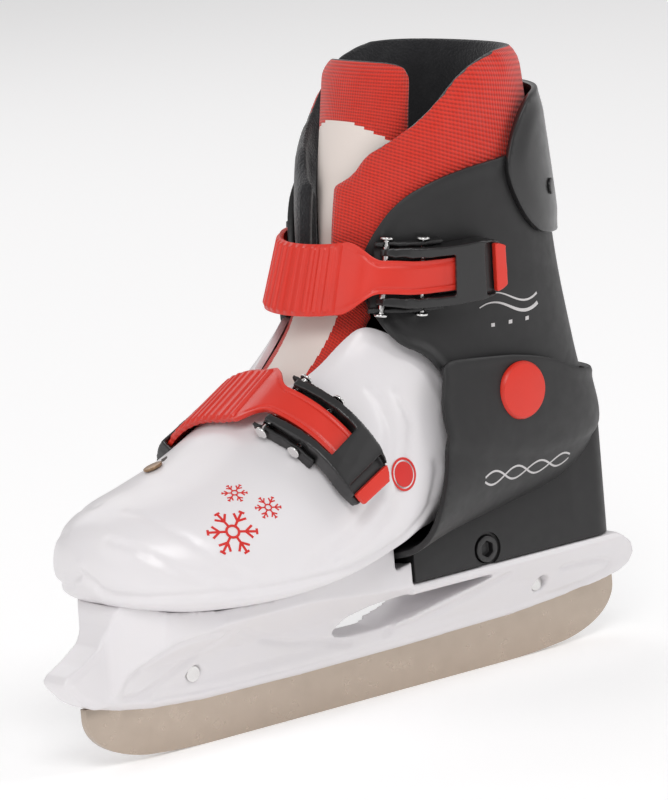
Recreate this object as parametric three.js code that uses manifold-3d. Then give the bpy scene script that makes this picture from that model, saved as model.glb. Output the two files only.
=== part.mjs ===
// Size-adjustable hard-shell ice skate for a child, left foot.
//
// Frame, in millimetres: +X points to the toe, +Y to the wearer's left (the outer side, where
// the buckle levers are) and +Z up. The origin is where the middle of the runner meets the ice.
//
// The boot is a set of shells that follow one surface, the outer face of the front shell. Every
// layer is that surface moved out or in by a distance, cut to its own outline in side view.

import * as THREE from 'three';
import { mergeVertices } from 'three/addons/utils/BufferGeometryUtils.js';
import Module from 'manifold-3d';

const wasm = await Module();
wasm.setup();

// ---------------------------------------------------------------- driving dimensions

const BOOT_SCALE_LENGTH = 1.0;      // stretches the boot along X about the cuff pivot
const BOOT_SCALE_WIDTH = 1.0;       // widens the boot about its middle plane
const FIT_GAP = 0.4;                // between pieces that touch
const SLIDE_GAP = 0.5;              // between pieces that slide or turn on each other

// runner
const RUNNER_LENGTH = 233.4;
const RUNNER_THICKNESS = 3.2;
const RUNNER_HEIGHT = 22;           // its upper part stands in the holder's slot
const RUNNER_FLAT = 130;            // length of the straight middle of the edge
const RUNNER_ROCKER_RISE = 1.6;     // how far the edge has risen where the ends begin
const RUNNER_END_LENGTH = 24;
const TANG_X = 76;                  // two tangs stand up into the towers of the holder
const TANG_LENGTH = 22;
const TANG_TOP = 31;
const RUNNER_RIVET_Z = 26.5;

// holder
const BAR_BOTTOM = 15.4;            // lower edge of the holder at the middle
const BAR_HALF_WIDTH = 7;           // at the bar above the steel
const TOWER_HALF_WIDTH = 13;        // at the heel tower
const DECK_HEIGHT = 40.5;           // flat deck that the heel base slides on
const DECK_THICKNESS = 4;
const WINDOW_BOTTOM = 24.9;
const DECK_FRONT = -11;
const DECK_REAR = -104;
const CRADLE_HALF_WIDTH = 29;       // under the ball of the foot
const RAIL_HALF_WIDTH = 8;
const RAIL_HEIGHT = 10;
const RAIL_FRONT = -16;
const RAIL_REAR = -98;
const HOLDER_EDGE_RADIUS = 2.5;

// size setting
const SIZE_TRAVEL = 20;             // from the smallest size to the largest
const SLIDE_PLACES = [2, 4, 6, 8, 10]; // of the heel's front edge over the cradle
const SIZE_SCREW_X = -44.7;
const SIZE_SCREW_HEIGHT = 5.7;      // above the deck
const SIZE_SCREW_RADIUS = 2.2;
const SIZE_HEAD_RADIUS = 4.6;
const SIZE_HEAD_DEPTH = 3.4;
const HEX_ACROSS_FLATS = 5;

// layers of the boot, as distances out from the boot surface
const SHELL_WALL = 2.2;             // the front shell lies from -SHELL_WALL to 0
const CUFF_GAP = 1.4;
const CUFF_WALL = 2.2;
const HEEL_GAP = 1.4;
const HEEL_WALL = 2.2;
const LINER_WALL = 3.5;
const COLLAR_PROUD = 1.0;           // the padded collar fills out the cuff
const COLLAR_WALL = 7.6;
const TONGUE_WALL = 6;
const TONGUE_HALF_WIDTH = 23;
const COLLAR_SLOT = 9;              // half width of the collar's opening over the tongue
const FOOTBED_THICKNESS = 3.5;
const SPOILER_WALL = 2.2;

// cuff pivot
const PIVOT_X = -50;
const PIVOT_Z = 102.5;
const LEAN_FORWARD = 7;              // degrees that the cuff tilts forward
const RIVET_RADIUS = 3;
const RIVET_FLANGE_RADIUS = 5.5;
const CAP_RADIUS = 10;
const CAP_HEIGHT = 2.8;

// heel base
const BASE_HALF_WIDTH = 21;
const BASE_FRONT = -12;
const BASE_REAR = -104;
const BASE_TOP = 87;                 // it ends where it meets the shell, below this height
const BASE_CORNER = 9;

// fasteners
const SOLE_SCREW_RADIUS = 2;
const SOLE_HEAD_RADIUS = 4.4;
const SOLE_HEAD_HEIGHT = 2;
const SMALL_RIVET_RADIUS = 1.6;
const SMALL_HEAD_RADIUS = 2.8;

// buckles, with distances along the strap from the lever pin and heights above what they sit on
const STRAP_WIDTH = 25;
const STRAP_TAIL_WIDTH = 12;
const STRAP_THICKNESS = 1.9;
const STRAP_HEIGHT = 5.4;           // its underside over the buckle
const STRAP_REST_HEIGHT = 1.6;      // its underside over the front of the boot
const STRAP_TAIL_LENGTH = 28.5;
const CHANNEL_HALF_WIDTH = 12;      // the base is a channel that holds the lever and the pawl
const CHANNEL_WALL = 1.4;
const CHANNEL_FLOOR = 1.2;
const CHANNEL_HEIGHT = 5.3;
const CHANNEL_LENGTH = 20;
const LEVER_ARM = 3.2;              // width of each fork arm
const LEVER_LENGTH = 39;
const LEVER_TOP = 9.4;
const LEVER_BRIDGE_START = 23;
const LEVER_BRIDGE_THICKNESS = 1.8;
const LEVER_TAIL_BLOCK = 7;         // the solid end behind the strap
const PIN_RADIUS = 1.1;
const PIN_HEIGHT = 3.8;
const PIN_HEAD_RADIUS = 2.3;
const PIN_HEAD_HEIGHT = 0.9;
const PAWL_PIN_PLACE = 13;
const PAWL_PIN_RADIUS = 0.8;
const PAWL_BOSS_RADIUS = 1.4;
const PAWL_ARM_LENGTH = 6;
const PAWL_HALF_WIDTH = 5.4;
const TAB_HALF_WIDTH = 8.2;
const TAB_LENGTH = 3.4;
const TAB_HEIGHT = 2.6;
const TAB_TRAVEL = 2.5;
const TAB_SIDE_GAP = 0.7;
const ANCHOR_LENGTH = 16;
const ANCHOR_WALL = 1.6;

// ---------------------------------------------------------------- materials

const finish = (color, roughness, metalness = 0) =>
  new THREE.MeshStandardMaterial({ color, roughness, metalness });
const WHITE_SHELL = finish(0xe6dedd, 0.38);
const BLACK_SHELL = finish(0x1c1b1a, 0.55);
const RED_PLASTIC = finish(0xe0331f, 0.42);
const RED_MESH = finish(0xd8301c, 0.85);
const FLEECE = finish(0x16161a, 0.95);
const PANEL = finish(0xddd2c8, 0.6);
const STEEL = finish(0xb4a18c, 0.28, 1);
const CHROME = finish(0xd0d0d0, 0.15, 1);
const FOAM = finish(0x3a3a3e, 0.9);

// ---------------------------------------------------------------- solids

/** A manifold solid from a closed three.js geometry. */
function solid(geometry) {
  const bare = geometry.clone();
  bare.deleteAttribute('normal');
  bare.deleteAttribute('uv');
  const merged = mergeVertices(bare, 1e-5);
  return new wasm.Manifold(new wasm.Mesh({
    numProp: 3,
    vertProperties: new Float32Array(merged.attributes.position.array),
    triVerts: new Uint32Array(merged.index.array),
  }));
}

/** A named mesh from a manifold solid. */
function piece(name, body, material) {
  const { vertProperties, triVerts } = body.getMesh();
  const geometry = new THREE.BufferGeometry();
  geometry.setAttribute('position', new THREE.BufferAttribute(new Float32Array(vertProperties), 3));
  geometry.setIndex(new THREE.BufferAttribute(new Uint32Array(triVerts), 1));
  geometry.computeVertexNormals();
  const mesh = new THREE.Mesh(geometry, material);
  mesh.name = name;
  return mesh;
}

const union = (...bodies) => bodies.reduce((all, body) => all.add(body));

/** A box given by its lowest and highest corners. */
function block(x0, x1, y0, y1, z0, z1) {
  const box = new THREE.BoxGeometry(x1 - x0, y1 - y0, z1 - z0);
  return solid(box.translate((x0 + x1) / 2, (y0 + y1) / 2, (z0 + z1) / 2));
}

/** An outline drawn in side view, as [x, z] points, extruded from y0 to y1. */
function sideSlab(outline, y0, y1, edgeRadius = 0) {
  const shape = new THREE.Shape(outline.map(([x, z]) => new THREE.Vector2(x, z)));
  return sideShape(shape, y0, y1, edgeRadius);
}

/** A THREE.Shape in side view, extruded from y0 to y1, with its edges rounded by edgeRadius. */
function sideShape(shape, y0, y1, edgeRadius = 0) {
  const geometry = new THREE.ExtrudeGeometry(shape, {
    depth: y1 - y0 - 2 * edgeRadius,
    steps: 1,
    curveSegments: 5,
    bevelEnabled: edgeRadius > 0,
    bevelThickness: edgeRadius,
    bevelSize: edgeRadius,
    bevelOffset: -edgeRadius,
    bevelSegments: 1,
  });
  return solid(geometry.rotateX(Math.PI / 2).translate(0, y1 - edgeRadius, 0));
}

/** A cylinder along Y. */
function rodAcross(radius, x, z, y0, y1, sides = 20) {
  const rod = new THREE.CylinderGeometry(radius, radius, y1 - y0, sides);
  return solid(rod.translate(x, (y0 + y1) / 2, z));
}

/** A cylinder along Z. */
function rodUp(radius, x, y, z0, z1, sides = 16) {
  const rod = new THREE.CylinderGeometry(radius, radius, z1 - z0, sides).rotateX(Math.PI / 2);
  return solid(rod.translate(x, y, (z0 + z1) / 2));
}

/** A cylinder about a line through centre along axis, from a to b along it. */
function rodAlong(centre, axis, radius, a, b, sides = 14) {
  const rod = new THREE.CylinderGeometry(radius, radius, b - a, sides).translate(0, (a + b) / 2, 0);
  const turn = new THREE.Quaternion().setFromUnitVectors(new THREE.Vector3(0, 1, 0), axis);
  return solid(rod.applyQuaternion(turn).translate(centre.x, centre.y, centre.z));
}

/** A closed solid from a grid of rings, each a closed loop of points, with flat ends. */
function loft(rings) {
  const count = rings[0].length;
  const vertices = rings.flat().flatMap((p) => [p.x, p.y, p.z]);
  const triangles = [];
  for (let i = 0; i + 1 < rings.length; i += 1) {
    for (let j = 0; j < count; j += 1) {
      const a = i * count + j;
      const b = i * count + ((j + 1) % count);
      triangles.push(a, b, b + count, a, b + count, a + count);
    }
  }
  for (const [ring, flip] of [[0, true], [rings.length - 1, false]]) {
    const middle = rings[ring].reduce((sum, p) => sum.add(p), new THREE.Vector3());
    middle.divideScalar(count);
    const centre = vertices.length / 3;
    vertices.push(middle.x, middle.y, middle.z);
    for (let j = 0; j < count; j += 1) {
      const a = ring * count + j;
      const b = ring * count + ((j + 1) % count);
      triangles.push(...(flip ? [b, a, centre] : [a, b, centre]));
    }
  }
  const geometry = new THREE.BufferGeometry();
  geometry.setAttribute('position', new THREE.BufferAttribute(new Float32Array(vertices), 3));
  geometry.setIndex(triangles);
  return solid(geometry);
}

// ---------------------------------------------------------------- boot surface

// Rings round the foot, from the toe to the top of the shaft. They fan out round the instep.
// top: its front or upper point, sole: its rear or lower point, both [x, z]; half: half width;
// waist: height of the widest place, from sole (0) to top (1); squareness above and below it.
const RINGS = [
  { top: [112.5, 71], sole: [112.5, 69], half: 1.2, waist: 0.5, upper: 2.0, lower: 2.0 },
  { top: [110, 79], sole: [111, 62], half: 13.5, waist: 0.42, upper: 2.0, lower: 2.2 },
  { top: [104, 84.5], sole: [106, 56], half: 24.5, waist: 0.36, upper: 2.1, lower: 2.4 },
  { top: [92, 88.5], sole: [94, 51.5], half: 34, waist: 0.3, upper: 2.2, lower: 2.5 },
  { top: [76, 92], sole: [78, 49.2], half: 41, waist: 0.26, upper: 2.2, lower: 2.5 },
  { top: [58, 98], sole: [56, 48.4], half: 44.5, waist: 0.24, upper: 2.15, lower: 2.6 },
  { top: [37.5, 109], sole: [32, 49.5], half: 45, waist: 0.25, upper: 2.1, lower: 2.6 },
  { top: [21, 121.5], sole: [4, 54], half: 42, waist: 0.28, upper: 2.1, lower: 2.6 },
  { top: [11, 133], sole: [-25, 59], half: 38, waist: 0.33, upper: 2.1, lower: 2.5 },
  { top: [6, 144], sole: [-56, 62], half: 34.5, waist: 0.42, upper: 2.1, lower: 2.4 },
  { top: [4, 152], sole: [-84, 66], half: 32.5, waist: 0.47, upper: 2.1, lower: 2.3 },
  { top: [3, 159], sole: [-99.5, 76], half: 32, waist: 0.5, upper: 2.1, lower: 2.2 },
  { top: [2, 166], sole: [-98.5, 91], half: 33, waist: 0.5, upper: 2.1, lower: 2.1 },
  { top: [0.5, 174], sole: [-94.5, 107], half: 34.5, waist: 0.5, upper: 2.1, lower: 2.1 },
  { top: [-2, 186], sole: [-90, 135], half: 35.5, waist: 0.5, upper: 2.1, lower: 2.0 },
  { top: [-6, 203], sole: [-86, 172], half: 36, waist: 0.5, upper: 2.1, lower: 2.0 },
  { top: [-10, 222], sole: [-82, 212], half: 36, waist: 0.5, upper: 2.1, lower: 2.0 },
  { top: [-13, 252], sole: [-80, 246], half: 36, waist: 0.5, upper: 2.1, lower: 2.0 },
];
const LAST_RING = RINGS.length - 1;
const RING_SIDES = 20;

/** Catmull-Rom value of the four neighbours of a place t along the rings. */
function blendRings(t, read) {
  const place = THREE.MathUtils.clamp(t, 0, LAST_RING);
  const i = Math.min(Math.floor(place), LAST_RING - 1);
  const f = place - i;
  const p1 = read(RINGS[i]);
  const p2 = read(RINGS[i + 1]);
  const p0 = i > 0 ? read(RINGS[i - 1]) : 2 * p1 - p2;
  const p3 = i + 2 <= LAST_RING ? read(RINGS[i + 2]) : 2 * p2 - p1;
  return 0.5 * (2 * p1 + (p2 - p0) * f + (2 * p0 - 5 * p1 + 4 * p2 - p3) * f * f
    + (3 * p1 - p0 - 3 * p2 + p3) * f ** 3);
}

/** An X of the boot as drawn, stretched about the cuff pivot. */
const alongBoot = (x) => PIVOT_X + (x - PIVOT_X) * BOOT_SCALE_LENGTH;

/** Point of the boot surface at ring place t and angle a: 0 is the front or top, PI the sole. */
function surfacePoint(t, a) {
  const topX = blendRings(t, (ring) => ring.top[0]);
  const topZ = blendRings(t, (ring) => ring.top[1]);
  const soleX = blendRings(t, (ring) => ring.sole[0]);
  const soleZ = blendRings(t, (ring) => ring.sole[1]);
  const waist = blendRings(t, (ring) => ring.waist);
  const half = Math.max(blendRings(t, (ring) => ring.half), 0.5) * BOOT_SCALE_WIDTH;
  const power = 2 / blendRings(t, (ring) => (Math.cos(a) >= 0 ? ring.upper : ring.lower));
  const reach = Math.sign(Math.cos(a)) * Math.abs(Math.cos(a)) ** power;
  const share = waist + reach * (reach >= 0 ? 1 - waist : waist);
  const x = soleX + share * (topX - soleX);
  return new THREE.Vector3(
    alongBoot(x),
    half * Math.sign(Math.sin(a)) * Math.abs(Math.sin(a)) ** power,
    soleZ + share * (topZ - soleZ),
  );
}

/** Outward normal of the boot surface. */
function surfaceNormal(t, a) {
  const step = 2e-3;
  const alongT = surfacePoint(Math.min(t + step, LAST_RING), a)
    .sub(surfacePoint(Math.max(t - step, 0), a));
  const alongA = surfacePoint(t, a + step).sub(surfacePoint(t, a - step));
  return alongA.cross(alongT).normalize();
}

/** Point at a distance out from the boot surface. */
const layerPoint = (t, a, out) =>
  surfacePoint(t, a).addScaledVector(surfaceNormal(t, a), out);

/** Ring place whose point at angle a stands at height z. */
function placeAtHeight(z, a) {
  let low = 5;
  let high = LAST_RING;
  for (let i = 0; i < 30; i += 1) {
    const middle = (low + high) / 2;
    if (surfacePoint(middle, a).z < z) low = middle;
    else high = middle;
  }
  return (low + high) / 2;
}

const bootBodies = new Map();

/** The whole boot as a solid, its surface moved out by a distance. */
function bootBody(out) {
  if (!bootBodies.has(out)) {
    const rings = [];
    for (let t = 0.15; t <= LAST_RING; t = t < 2 ? Math.floor(2 * t + 1) / 2 : t + 1) {
      const ring = [];
      for (let j = 0; j < RING_SIDES; j += 1) {
        ring.push(layerPoint(t, (2 * Math.PI * j) / RING_SIDES, out));
      }
      rings.push(ring);
    }
    bootBodies.set(out, loft(rings));
  }
  return bootBodies.get(out);
}

/** A side-view outline, stretched with the boot. */
const stretched = (outline) => outline.map(([x, z]) => [alongBoot(x), z]);

/** The wall between two distances from the boot surface, cut to a side-view outline. */
function layer(inner, outer, outline) {
  return bootBody(outer).subtract(bootBody(inner)).intersect(sideSlab(stretched(outline), -80, 80));
}

// Side-view outlines of the layers, [x, z].

const FRONT_SHELL_REAR = -40;

const FRONT_SHELL_OUTLINE = [
  [130, 40], [130, 118], [40, 118], [33, 113], [25, 116], [17, 121], [9, 127.5], [2, 132.5],
  [-4, 130.5], [-14, 122.5], [-28, 109], [FRONT_SHELL_REAR, 100], [FRONT_SHELL_REAR, 40],
];

const STRAP_SWEEP_OUTLINE = [[-8, 134.5], [8, 133.5], [8, 160], [-8, 160]];

const HEEL_SHELL_OUTLINE = [
  [-5, 40], [-5, 58], [-7, 70], [-11.5, 82], [-13.5, 93], [-12.5, 104], [-16.5, 112],
  [-17, 118.5], [-34, 116.8], [-52, 114.8], [-70, 109.5], [-80, 103.5], [-125, 97], [-125, 40],
];

const CUFF_OUTLINE = [
  [-1, 134], [1, 141], [0, 150], [-2, 156.5], [-6, 165], [-10.5, 171.3], [-16.5, 176],
  [-26, 179.5], [-37, 181.7], [-50, 182.5], [-64, 184], [-110, 186], [-110, 98], [-74, 92],
  [-50, 90], [-32, 95], [-22, 106], [-18, 116], [-13.3, 121.3], [-6.8, 124.5], [-3, 129],
];

const SPOILER_OUTLINE = [
  [-51, 181.5], [-51, 175], [-54, 167.5], [-60, 158.5], [-70, 152], [-110, 150], [-110, 202],
  [-74, 202], [-66, 200.5], [-59, 195.5], [-54.5, 189.5],
];

const COLLAR_OUTLINE = [
  [-110, 112], [-58, 112], [-43, 124], [-26, 138], [-8, 147], [20, 151], [20, 166], [8, 176],
  [-2, 180], [-5, 185], [-8, 190], [-17, 195], [-29, 204], [-36, 211.5], [-48, 217],
  [-62, 219], [-110, 214],
];

const LINER_TOE_OUTLINE = [
  [130, 40], [130, 100], [44, 100], [34, 98], [6, 105], [-14, 112],
  [FRONT_SHELL_REAR + 2, 98], [FRONT_SHELL_REAR + 2, 40],
];

const LINER_HEEL_OUTLINE = [
  [FRONT_SHELL_REAR - 6, 40], [FRONT_SHELL_REAR - 6, 96], [-74, 104], [-130, 104], [-130, 40],
];

const TONGUE_LOWER_OUTLINE = [
  [48, 101], [60, 120], [20, 134], [-2, 134], [-4, 128], [8, 112], [34, 101],
];

const TONGUE_UPPER_OUTLINE = [
  [-20, 146], [20, 146], [20, 219], [-34, 216], [-34, 190],
];

// ---------------------------------------------------------------- runner

/** The runner's side view, grown by a clearance where the holder's slot is cut. */
function runnerShape(grow) {
  const half = RUNNER_LENGTH / 2 + grow;
  const flat = RUNNER_FLAT / 2;
  const endStart = half - RUNNER_END_LENGTH;
  const rocker = (flat + endStart) / 2;
  const top = RUNNER_HEIGHT + grow;
  const tangTop = TANG_TOP + grow;
  const shape = new THREE.Shape();
  shape.moveTo(-flat, 0);
  shape.lineTo(flat, 0);
  shape.quadraticCurveTo(rocker, RUNNER_ROCKER_RISE / 3, endStart, RUNNER_ROCKER_RISE);
  shape.bezierCurveTo(half - 8, 4, half, 11, half, 18);
  shape.lineTo(half, top);
  for (const middle of [TANG_X, -TANG_X]) {
    const reach = TANG_LENGTH / 2 + grow;
    shape.lineTo(middle + reach, top);
    shape.lineTo(middle + reach - 2, tangTop);
    shape.lineTo(middle - reach + 2, tangTop);
    shape.lineTo(middle - reach, top);
  }
  shape.lineTo(-half, top);
  shape.lineTo(-half, 18);
  shape.bezierCurveTo(-half, 11, -half + 8, 4, -endStart, RUNNER_ROCKER_RISE);
  shape.quadraticCurveTo(-rocker, RUNNER_ROCKER_RISE / 3, -flat, 0);
  return shape;
}

const RUNNER_RIVETS = [['runner_rivet_front', TANG_X], ['runner_rivet_rear', -TANG_X]];

function makeRunner() {
  let body = sideShape(runnerShape(0), -RUNNER_THICKNESS / 2, RUNNER_THICKNESS / 2);
  for (const [, x] of RUNNER_RIVETS) {
    body = body.subtract(
      rodAcross(SMALL_RIVET_RADIUS + FIT_GAP, x, RUNNER_RIVET_Z, -RUNNER_THICKNESS, RUNNER_THICKNESS),
    );
  }
  return body;
}

/** Rivets that go through the holder and a tang of the runner, with a head at each end. */
function makeRunnerRivet(x) {
  const reach = BAR_HALF_WIDTH + 0.2;
  return union(
    rodAcross(SMALL_RIVET_RADIUS, x, RUNNER_RIVET_Z, -reach, reach, 12),
    rodAcross(SMALL_HEAD_RADIUS, x, RUNNER_RIVET_Z, reach, reach + 1, 12),
    rodAcross(SMALL_HEAD_RADIUS, x, RUNNER_RIVET_Z, -reach - 1, -reach, 12),
  );
}

// ---------------------------------------------------------------- holder

const HOLDER_OUTLINE = [
  [117, 22.6], [105, 19.6], [92, 17.5], [71, 16], [28, BAR_BOTTOM], [-17, BAR_BOTTOM + 0.3],
  [-68, 16.8], [-91, 18.5], [-105.5, 20.6], [-114.5, 22.8], [-118, 25.5], [-119, 29],
  [-113, 35], [DECK_REAR, DECK_HEIGHT - 1], [DECK_FRONT, DECK_HEIGHT - 1],
  [DECK_FRONT, 58], [104, 58],
  [108, 52], [109, 48], [112.4, 42], [120, 38], [126, 35.4], [127.9, 33], [126.4, 30.4],
  [121, 25],
];

/** A height in the window, as a share of the way from its lower edge up to the deck. */
const windowHeight = (share) =>
  WINDOW_BOTTOM + share * (DECK_HEIGHT - DECK_THICKNESS - WINDOW_BOTTOM);

const WINDOW_OUTLINE = [
  [17, 0.31], [12.5, 0.655], [4, 0.914], [-6, 1], [-52, 1], [-44, 0.767], [-31.5, 0.491],
  [-18, 0.181], [-6, 0], [8, 0.009], [14.5, 0.112],
].map(([x, share]) => [x, windowHeight(share)]);

/** A cross-section [y, z], extruded along X. */
function crossSlab(profile, x0, x1) {
  const shape = new THREE.Shape(profile.map(([y, z]) => new THREE.Vector2(y, z)));
  const geometry = new THREE.ExtrudeGeometry(shape, { depth: x1 - x0, steps: 1, bevelEnabled: false });
  const turn = new THREE.Matrix4().makeBasis(
    new THREE.Vector3(0, 1, 0), new THREE.Vector3(0, 0, 1), new THREE.Vector3(1, 0, 0),
  );
  return solid(geometry.applyMatrix4(turn).translate(x0, 0, 0));
}

/** A plan outline [x, y], extruded from z0 to z1. */
function planSlab(outline, z0, z1) {
  const shape = new THREE.Shape(outline.map(([x, y]) => new THREE.Vector2(x, y)));
  const geometry = new THREE.ExtrudeGeometry(shape, { depth: z1 - z0, steps: 1, bevelEnabled: false });
  return solid(geometry.translate(0, 0, z0));
}

/** Both sides of a plan outline that is given from its rear to its front on the +Y side. */
const mirrored = (outline) => [...outline, ...outline.map(([x, y]) => [x, -y]).reverse()];

const CRADLE_PLAN = mirrored([
  [DECK_FRONT, BASE_HALF_WIDTH], [6, 23], [40, CRADLE_HALF_WIDTH], [76, CRADLE_HALF_WIDTH],
  [96, 22], [106, 12], [110, 7], [128, BAR_HALF_WIDTH - 1],
]).reverse();

const SOLE_SCREWS = [['sole_screw_front', 62], ['sole_screw_rear', 26]];

/** Height of the boot surface's underside at x, on the middle plane. */
function soleHeight(x) {
  let low = 1;
  let high = 10;
  for (let i = 0; i < 30; i += 1) {
    const middle = (low + high) / 2;
    if (surfacePoint(middle, Math.PI).x > x) low = middle;
    else high = middle;
  }
  return surfacePoint(low, Math.PI).z;
}

/** Height of the flat boss that a sole screw's head rests on, inside the front shell. */
const bossTop = (x) => soleHeight(x) + SHELL_WALL + 0.9;

function makeHolder() {
  const bar = sideSlab(HOLDER_OUTLINE, -BAR_HALF_WIDTH, BAR_HALF_WIDTH, HOLDER_EDGE_RADIUS);
  const cradle = crossSlab([
    [-BAR_HALF_WIDTH + 1, 22], [BAR_HALF_WIDTH - 1, 22], [12, 33], [CRADLE_HALF_WIDTH, 46],
    [CRADLE_HALF_WIDTH, 62], [-CRADLE_HALF_WIDTH, 62], [-CRADLE_HALF_WIDTH, 46], [-12, 33],
  ], DECK_FRONT, 128);
  const tower = crossSlab([
    [-BAR_HALF_WIDTH + 1, 20], [BAR_HALF_WIDTH - 1, 20], [TOWER_HALF_WIDTH, 30],
    [BASE_HALF_WIDTH, DECK_HEIGHT - 2], [BASE_HALF_WIDTH, DECK_HEIGHT],
    [-BASE_HALF_WIDTH, DECK_HEIGHT], [-BASE_HALF_WIDTH, DECK_HEIGHT - 2], [-TOWER_HALF_WIDTH, 30],
  ], DECK_REAR - 14, DECK_FRONT);
  const raised = HOLDER_OUTLINE.map(([x, z]) => [x, z > DECK_HEIGHT - 2 ? z + 1 : z]);
  const outline = sideSlab(raised, -40, 40);
  const rail = block(RAIL_REAR, RAIL_FRONT, -RAIL_HALF_WIDTH, RAIL_HALF_WIDTH,
    DECK_HEIGHT - 1, DECK_HEIGHT + RAIL_HEIGHT);
  const slotZ = DECK_HEIGHT + SIZE_SCREW_HEIGHT;
  const slotReach = SIZE_SCREW_RADIUS + 0.3;
  const slotEnds = [SIZE_SCREW_X, SIZE_SCREW_X - SIZE_TRAVEL];
  const slot = union(
    ...slotEnds.map((x) => rodAcross(slotReach, x, slotZ, -20, 20)),
    block(slotEnds[1], slotEnds[0], -20, 20, slotZ - slotReach, slotZ + slotReach),
  );
  let body = union(
    bar,
    cradle.intersect(outline).intersect(planSlab(CRADLE_PLAN, 0, 80)),
    tower.intersect(outline),
    rail.subtract(slot),
  );
  body = body.subtract(sideSlab(WINDOW_OUTLINE, -60, 60));
  body = body.subtract(bootBody(FIT_GAP));
  const heelClear = SLIDE_PLACES.reduce(
    (all, moved) => all.add(bootBody(HEEL_OUTER + SLIDE_GAP).translate([-moved, 0, 0])),
    bootBody(HEEL_OUTER + SLIDE_GAP),
  );
  const heelSide = block(-200, alongBoot(-3), -60, 60, DECK_HEIGHT + 1, 90).subtract(
    block(RAIL_REAR, RAIL_FRONT, -RAIL_HALF_WIDTH, RAIL_HALF_WIDTH, 0, DECK_HEIGHT + RAIL_HEIGHT),
  );
  body = body.subtract(heelClear.intersect(heelSide));
  const slotHalf = RUNNER_THICKNESS / 2 + FIT_GAP;
  body = body.subtract(sideShape(runnerShape(FIT_GAP), -slotHalf, slotHalf));
  for (const [, x] of RUNNER_RIVETS) {
    body = body.subtract(rodAcross(SMALL_RIVET_RADIUS + FIT_GAP, x, RUNNER_RIVET_Z, -40, 40));
    for (const side of [-1, 1]) {
      const ends = [side * BAR_HALF_WIDTH, side * 40].sort((a, b) => a - b);
      body = body.subtract(rodAcross(SMALL_HEAD_RADIUS + FIT_GAP, x, RUNNER_RIVET_Z, ...ends));
    }
  }
  for (const [, x] of SOLE_SCREWS) {
    body = body.subtract(rodUp(SOLE_SCREW_RADIUS + FIT_GAP, x, 0, TANG_TOP + 4, 90));
  }
  return body;
}

/** A screw with a flat head, from inside the front shell down into the holder. */
function makeSoleScrew(x) {
  const seat = bossTop(x) + 0.1;
  const socket = rodUp(SOLE_SCREW_RADIUS * 0.7, x, 0, seat + SOLE_HEAD_HEIGHT - 1.2, seat + 9, 6);
  return union(
    rodUp(SOLE_SCREW_RADIUS, x, 0, TANG_TOP + 5, seat + 0.5, 12),
    rodUp(SOLE_HEAD_RADIUS, x, 0, seat, seat + SOLE_HEAD_HEIGHT),
  ).subtract(socket);
}

// ---------------------------------------------------------------- layers worked out

const CUFF_INNER = CUFF_GAP;
const CUFF_OUTER = CUFF_INNER + CUFF_WALL;
const HEEL_INNER = CUFF_OUTER + HEEL_GAP;
const HEEL_OUTER = HEEL_INNER + HEEL_WALL;
const LINER_OUTER = -SHELL_WALL - FIT_GAP;
const LINER_INNER = LINER_OUTER - LINER_WALL;
const COLLAR_INNER = COLLAR_PROUD - COLLAR_WALL;
const TONGUE_OUTER = COLLAR_INNER - FIT_GAP;
const SPOILER_INNER = CUFF_OUTER + FIT_GAP;
const SPOILER_OUTER = SPOILER_INNER + SPOILER_WALL;

// ---------------------------------------------------------------- front shell and what is in it

/** A place on the boot surface with its directions: along increasing angle, across and out. */
function frameAt(t, a) {
  const step = 2e-3;
  const along = surfacePoint(t, a + step).sub(surfacePoint(t, a - step)).normalize();
  const out = surfaceNormal(t, a);
  const across = out.clone().cross(along).normalize();
  return { origin: surfacePoint(t, a), along, across, out };
}

const TOE_RIVET = frameAt(4.4, THREE.MathUtils.degToRad(-15));

const CRUMB = 1; // mm3, a chip left between two steps of a sweep

const withoutCrumbs = (body) => union(...body.decompose().filter((b) => b.volume() > CRUMB));

const evenly = (count, from, to) =>
  Array.from({ length: count }, (_, i) => from + (to - from) * i / (count - 1));

/** The room that the cuff and its strap need over the front shell, at any size and lean. */
function cuffSweep() {
  const near = block(-46, 40, -60, 60, 95, 150);
  const flap = layer(CUFF_INNER - SLIDE_GAP, CUFF_OUTER, CUFF_OUTLINE).intersect(near);
  const strap = layer(
    STRAP_REST_HEIGHT - SLIDE_GAP, STRAP_REST_HEIGHT + STRAP_THICKNESS, STRAP_SWEEP_OUTLINE,
  );
  const moving = flap.add(strap);
  const places = [];
  for (const lean of evenly(8, 0, LEAN_FORWARD)) {
    const leant = moving.translate([-PIVOT_X, 0, -PIVOT_Z]).rotate([0, lean, 0]);
    for (const slide of evenly(11, 0, SIZE_TRAVEL)) {
      places.push(leant.translate([PIVOT_X - slide, 0, PIVOT_Z]));
    }
  }
  return union(...places);
}

function makeFrontShell() {
  let body = withoutCrumbs(layer(-SHELL_WALL, 0, FRONT_SHELL_OUTLINE).subtract(cuffSweep()));
  for (const [, x] of SOLE_SCREWS) {
    body = body.add(rodUp(SOLE_HEAD_RADIUS + 2, x, 0, soleHeight(x) + SHELL_WALL / 2, bossTop(x)));
    body = body.subtract(rodUp(SOLE_SCREW_RADIUS + FIT_GAP, x, 0, 30, 70));
  }
  const { origin, out } = TOE_RIVET;
  return body.subtract(rodAlong(origin, out, SMALL_RIVET_RADIUS + FIT_GAP / 2, -8, 8));
}

function makeToeRivet() {
  const { origin, out } = TOE_RIVET;
  return union(
    rodAlong(origin, out, SMALL_RIVET_RADIUS, -SHELL_WALL, 0.6, 12),
    rodAlong(origin, out, SMALL_HEAD_RADIUS + 0.6, 0.4, 1.3),
  );
}

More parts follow.
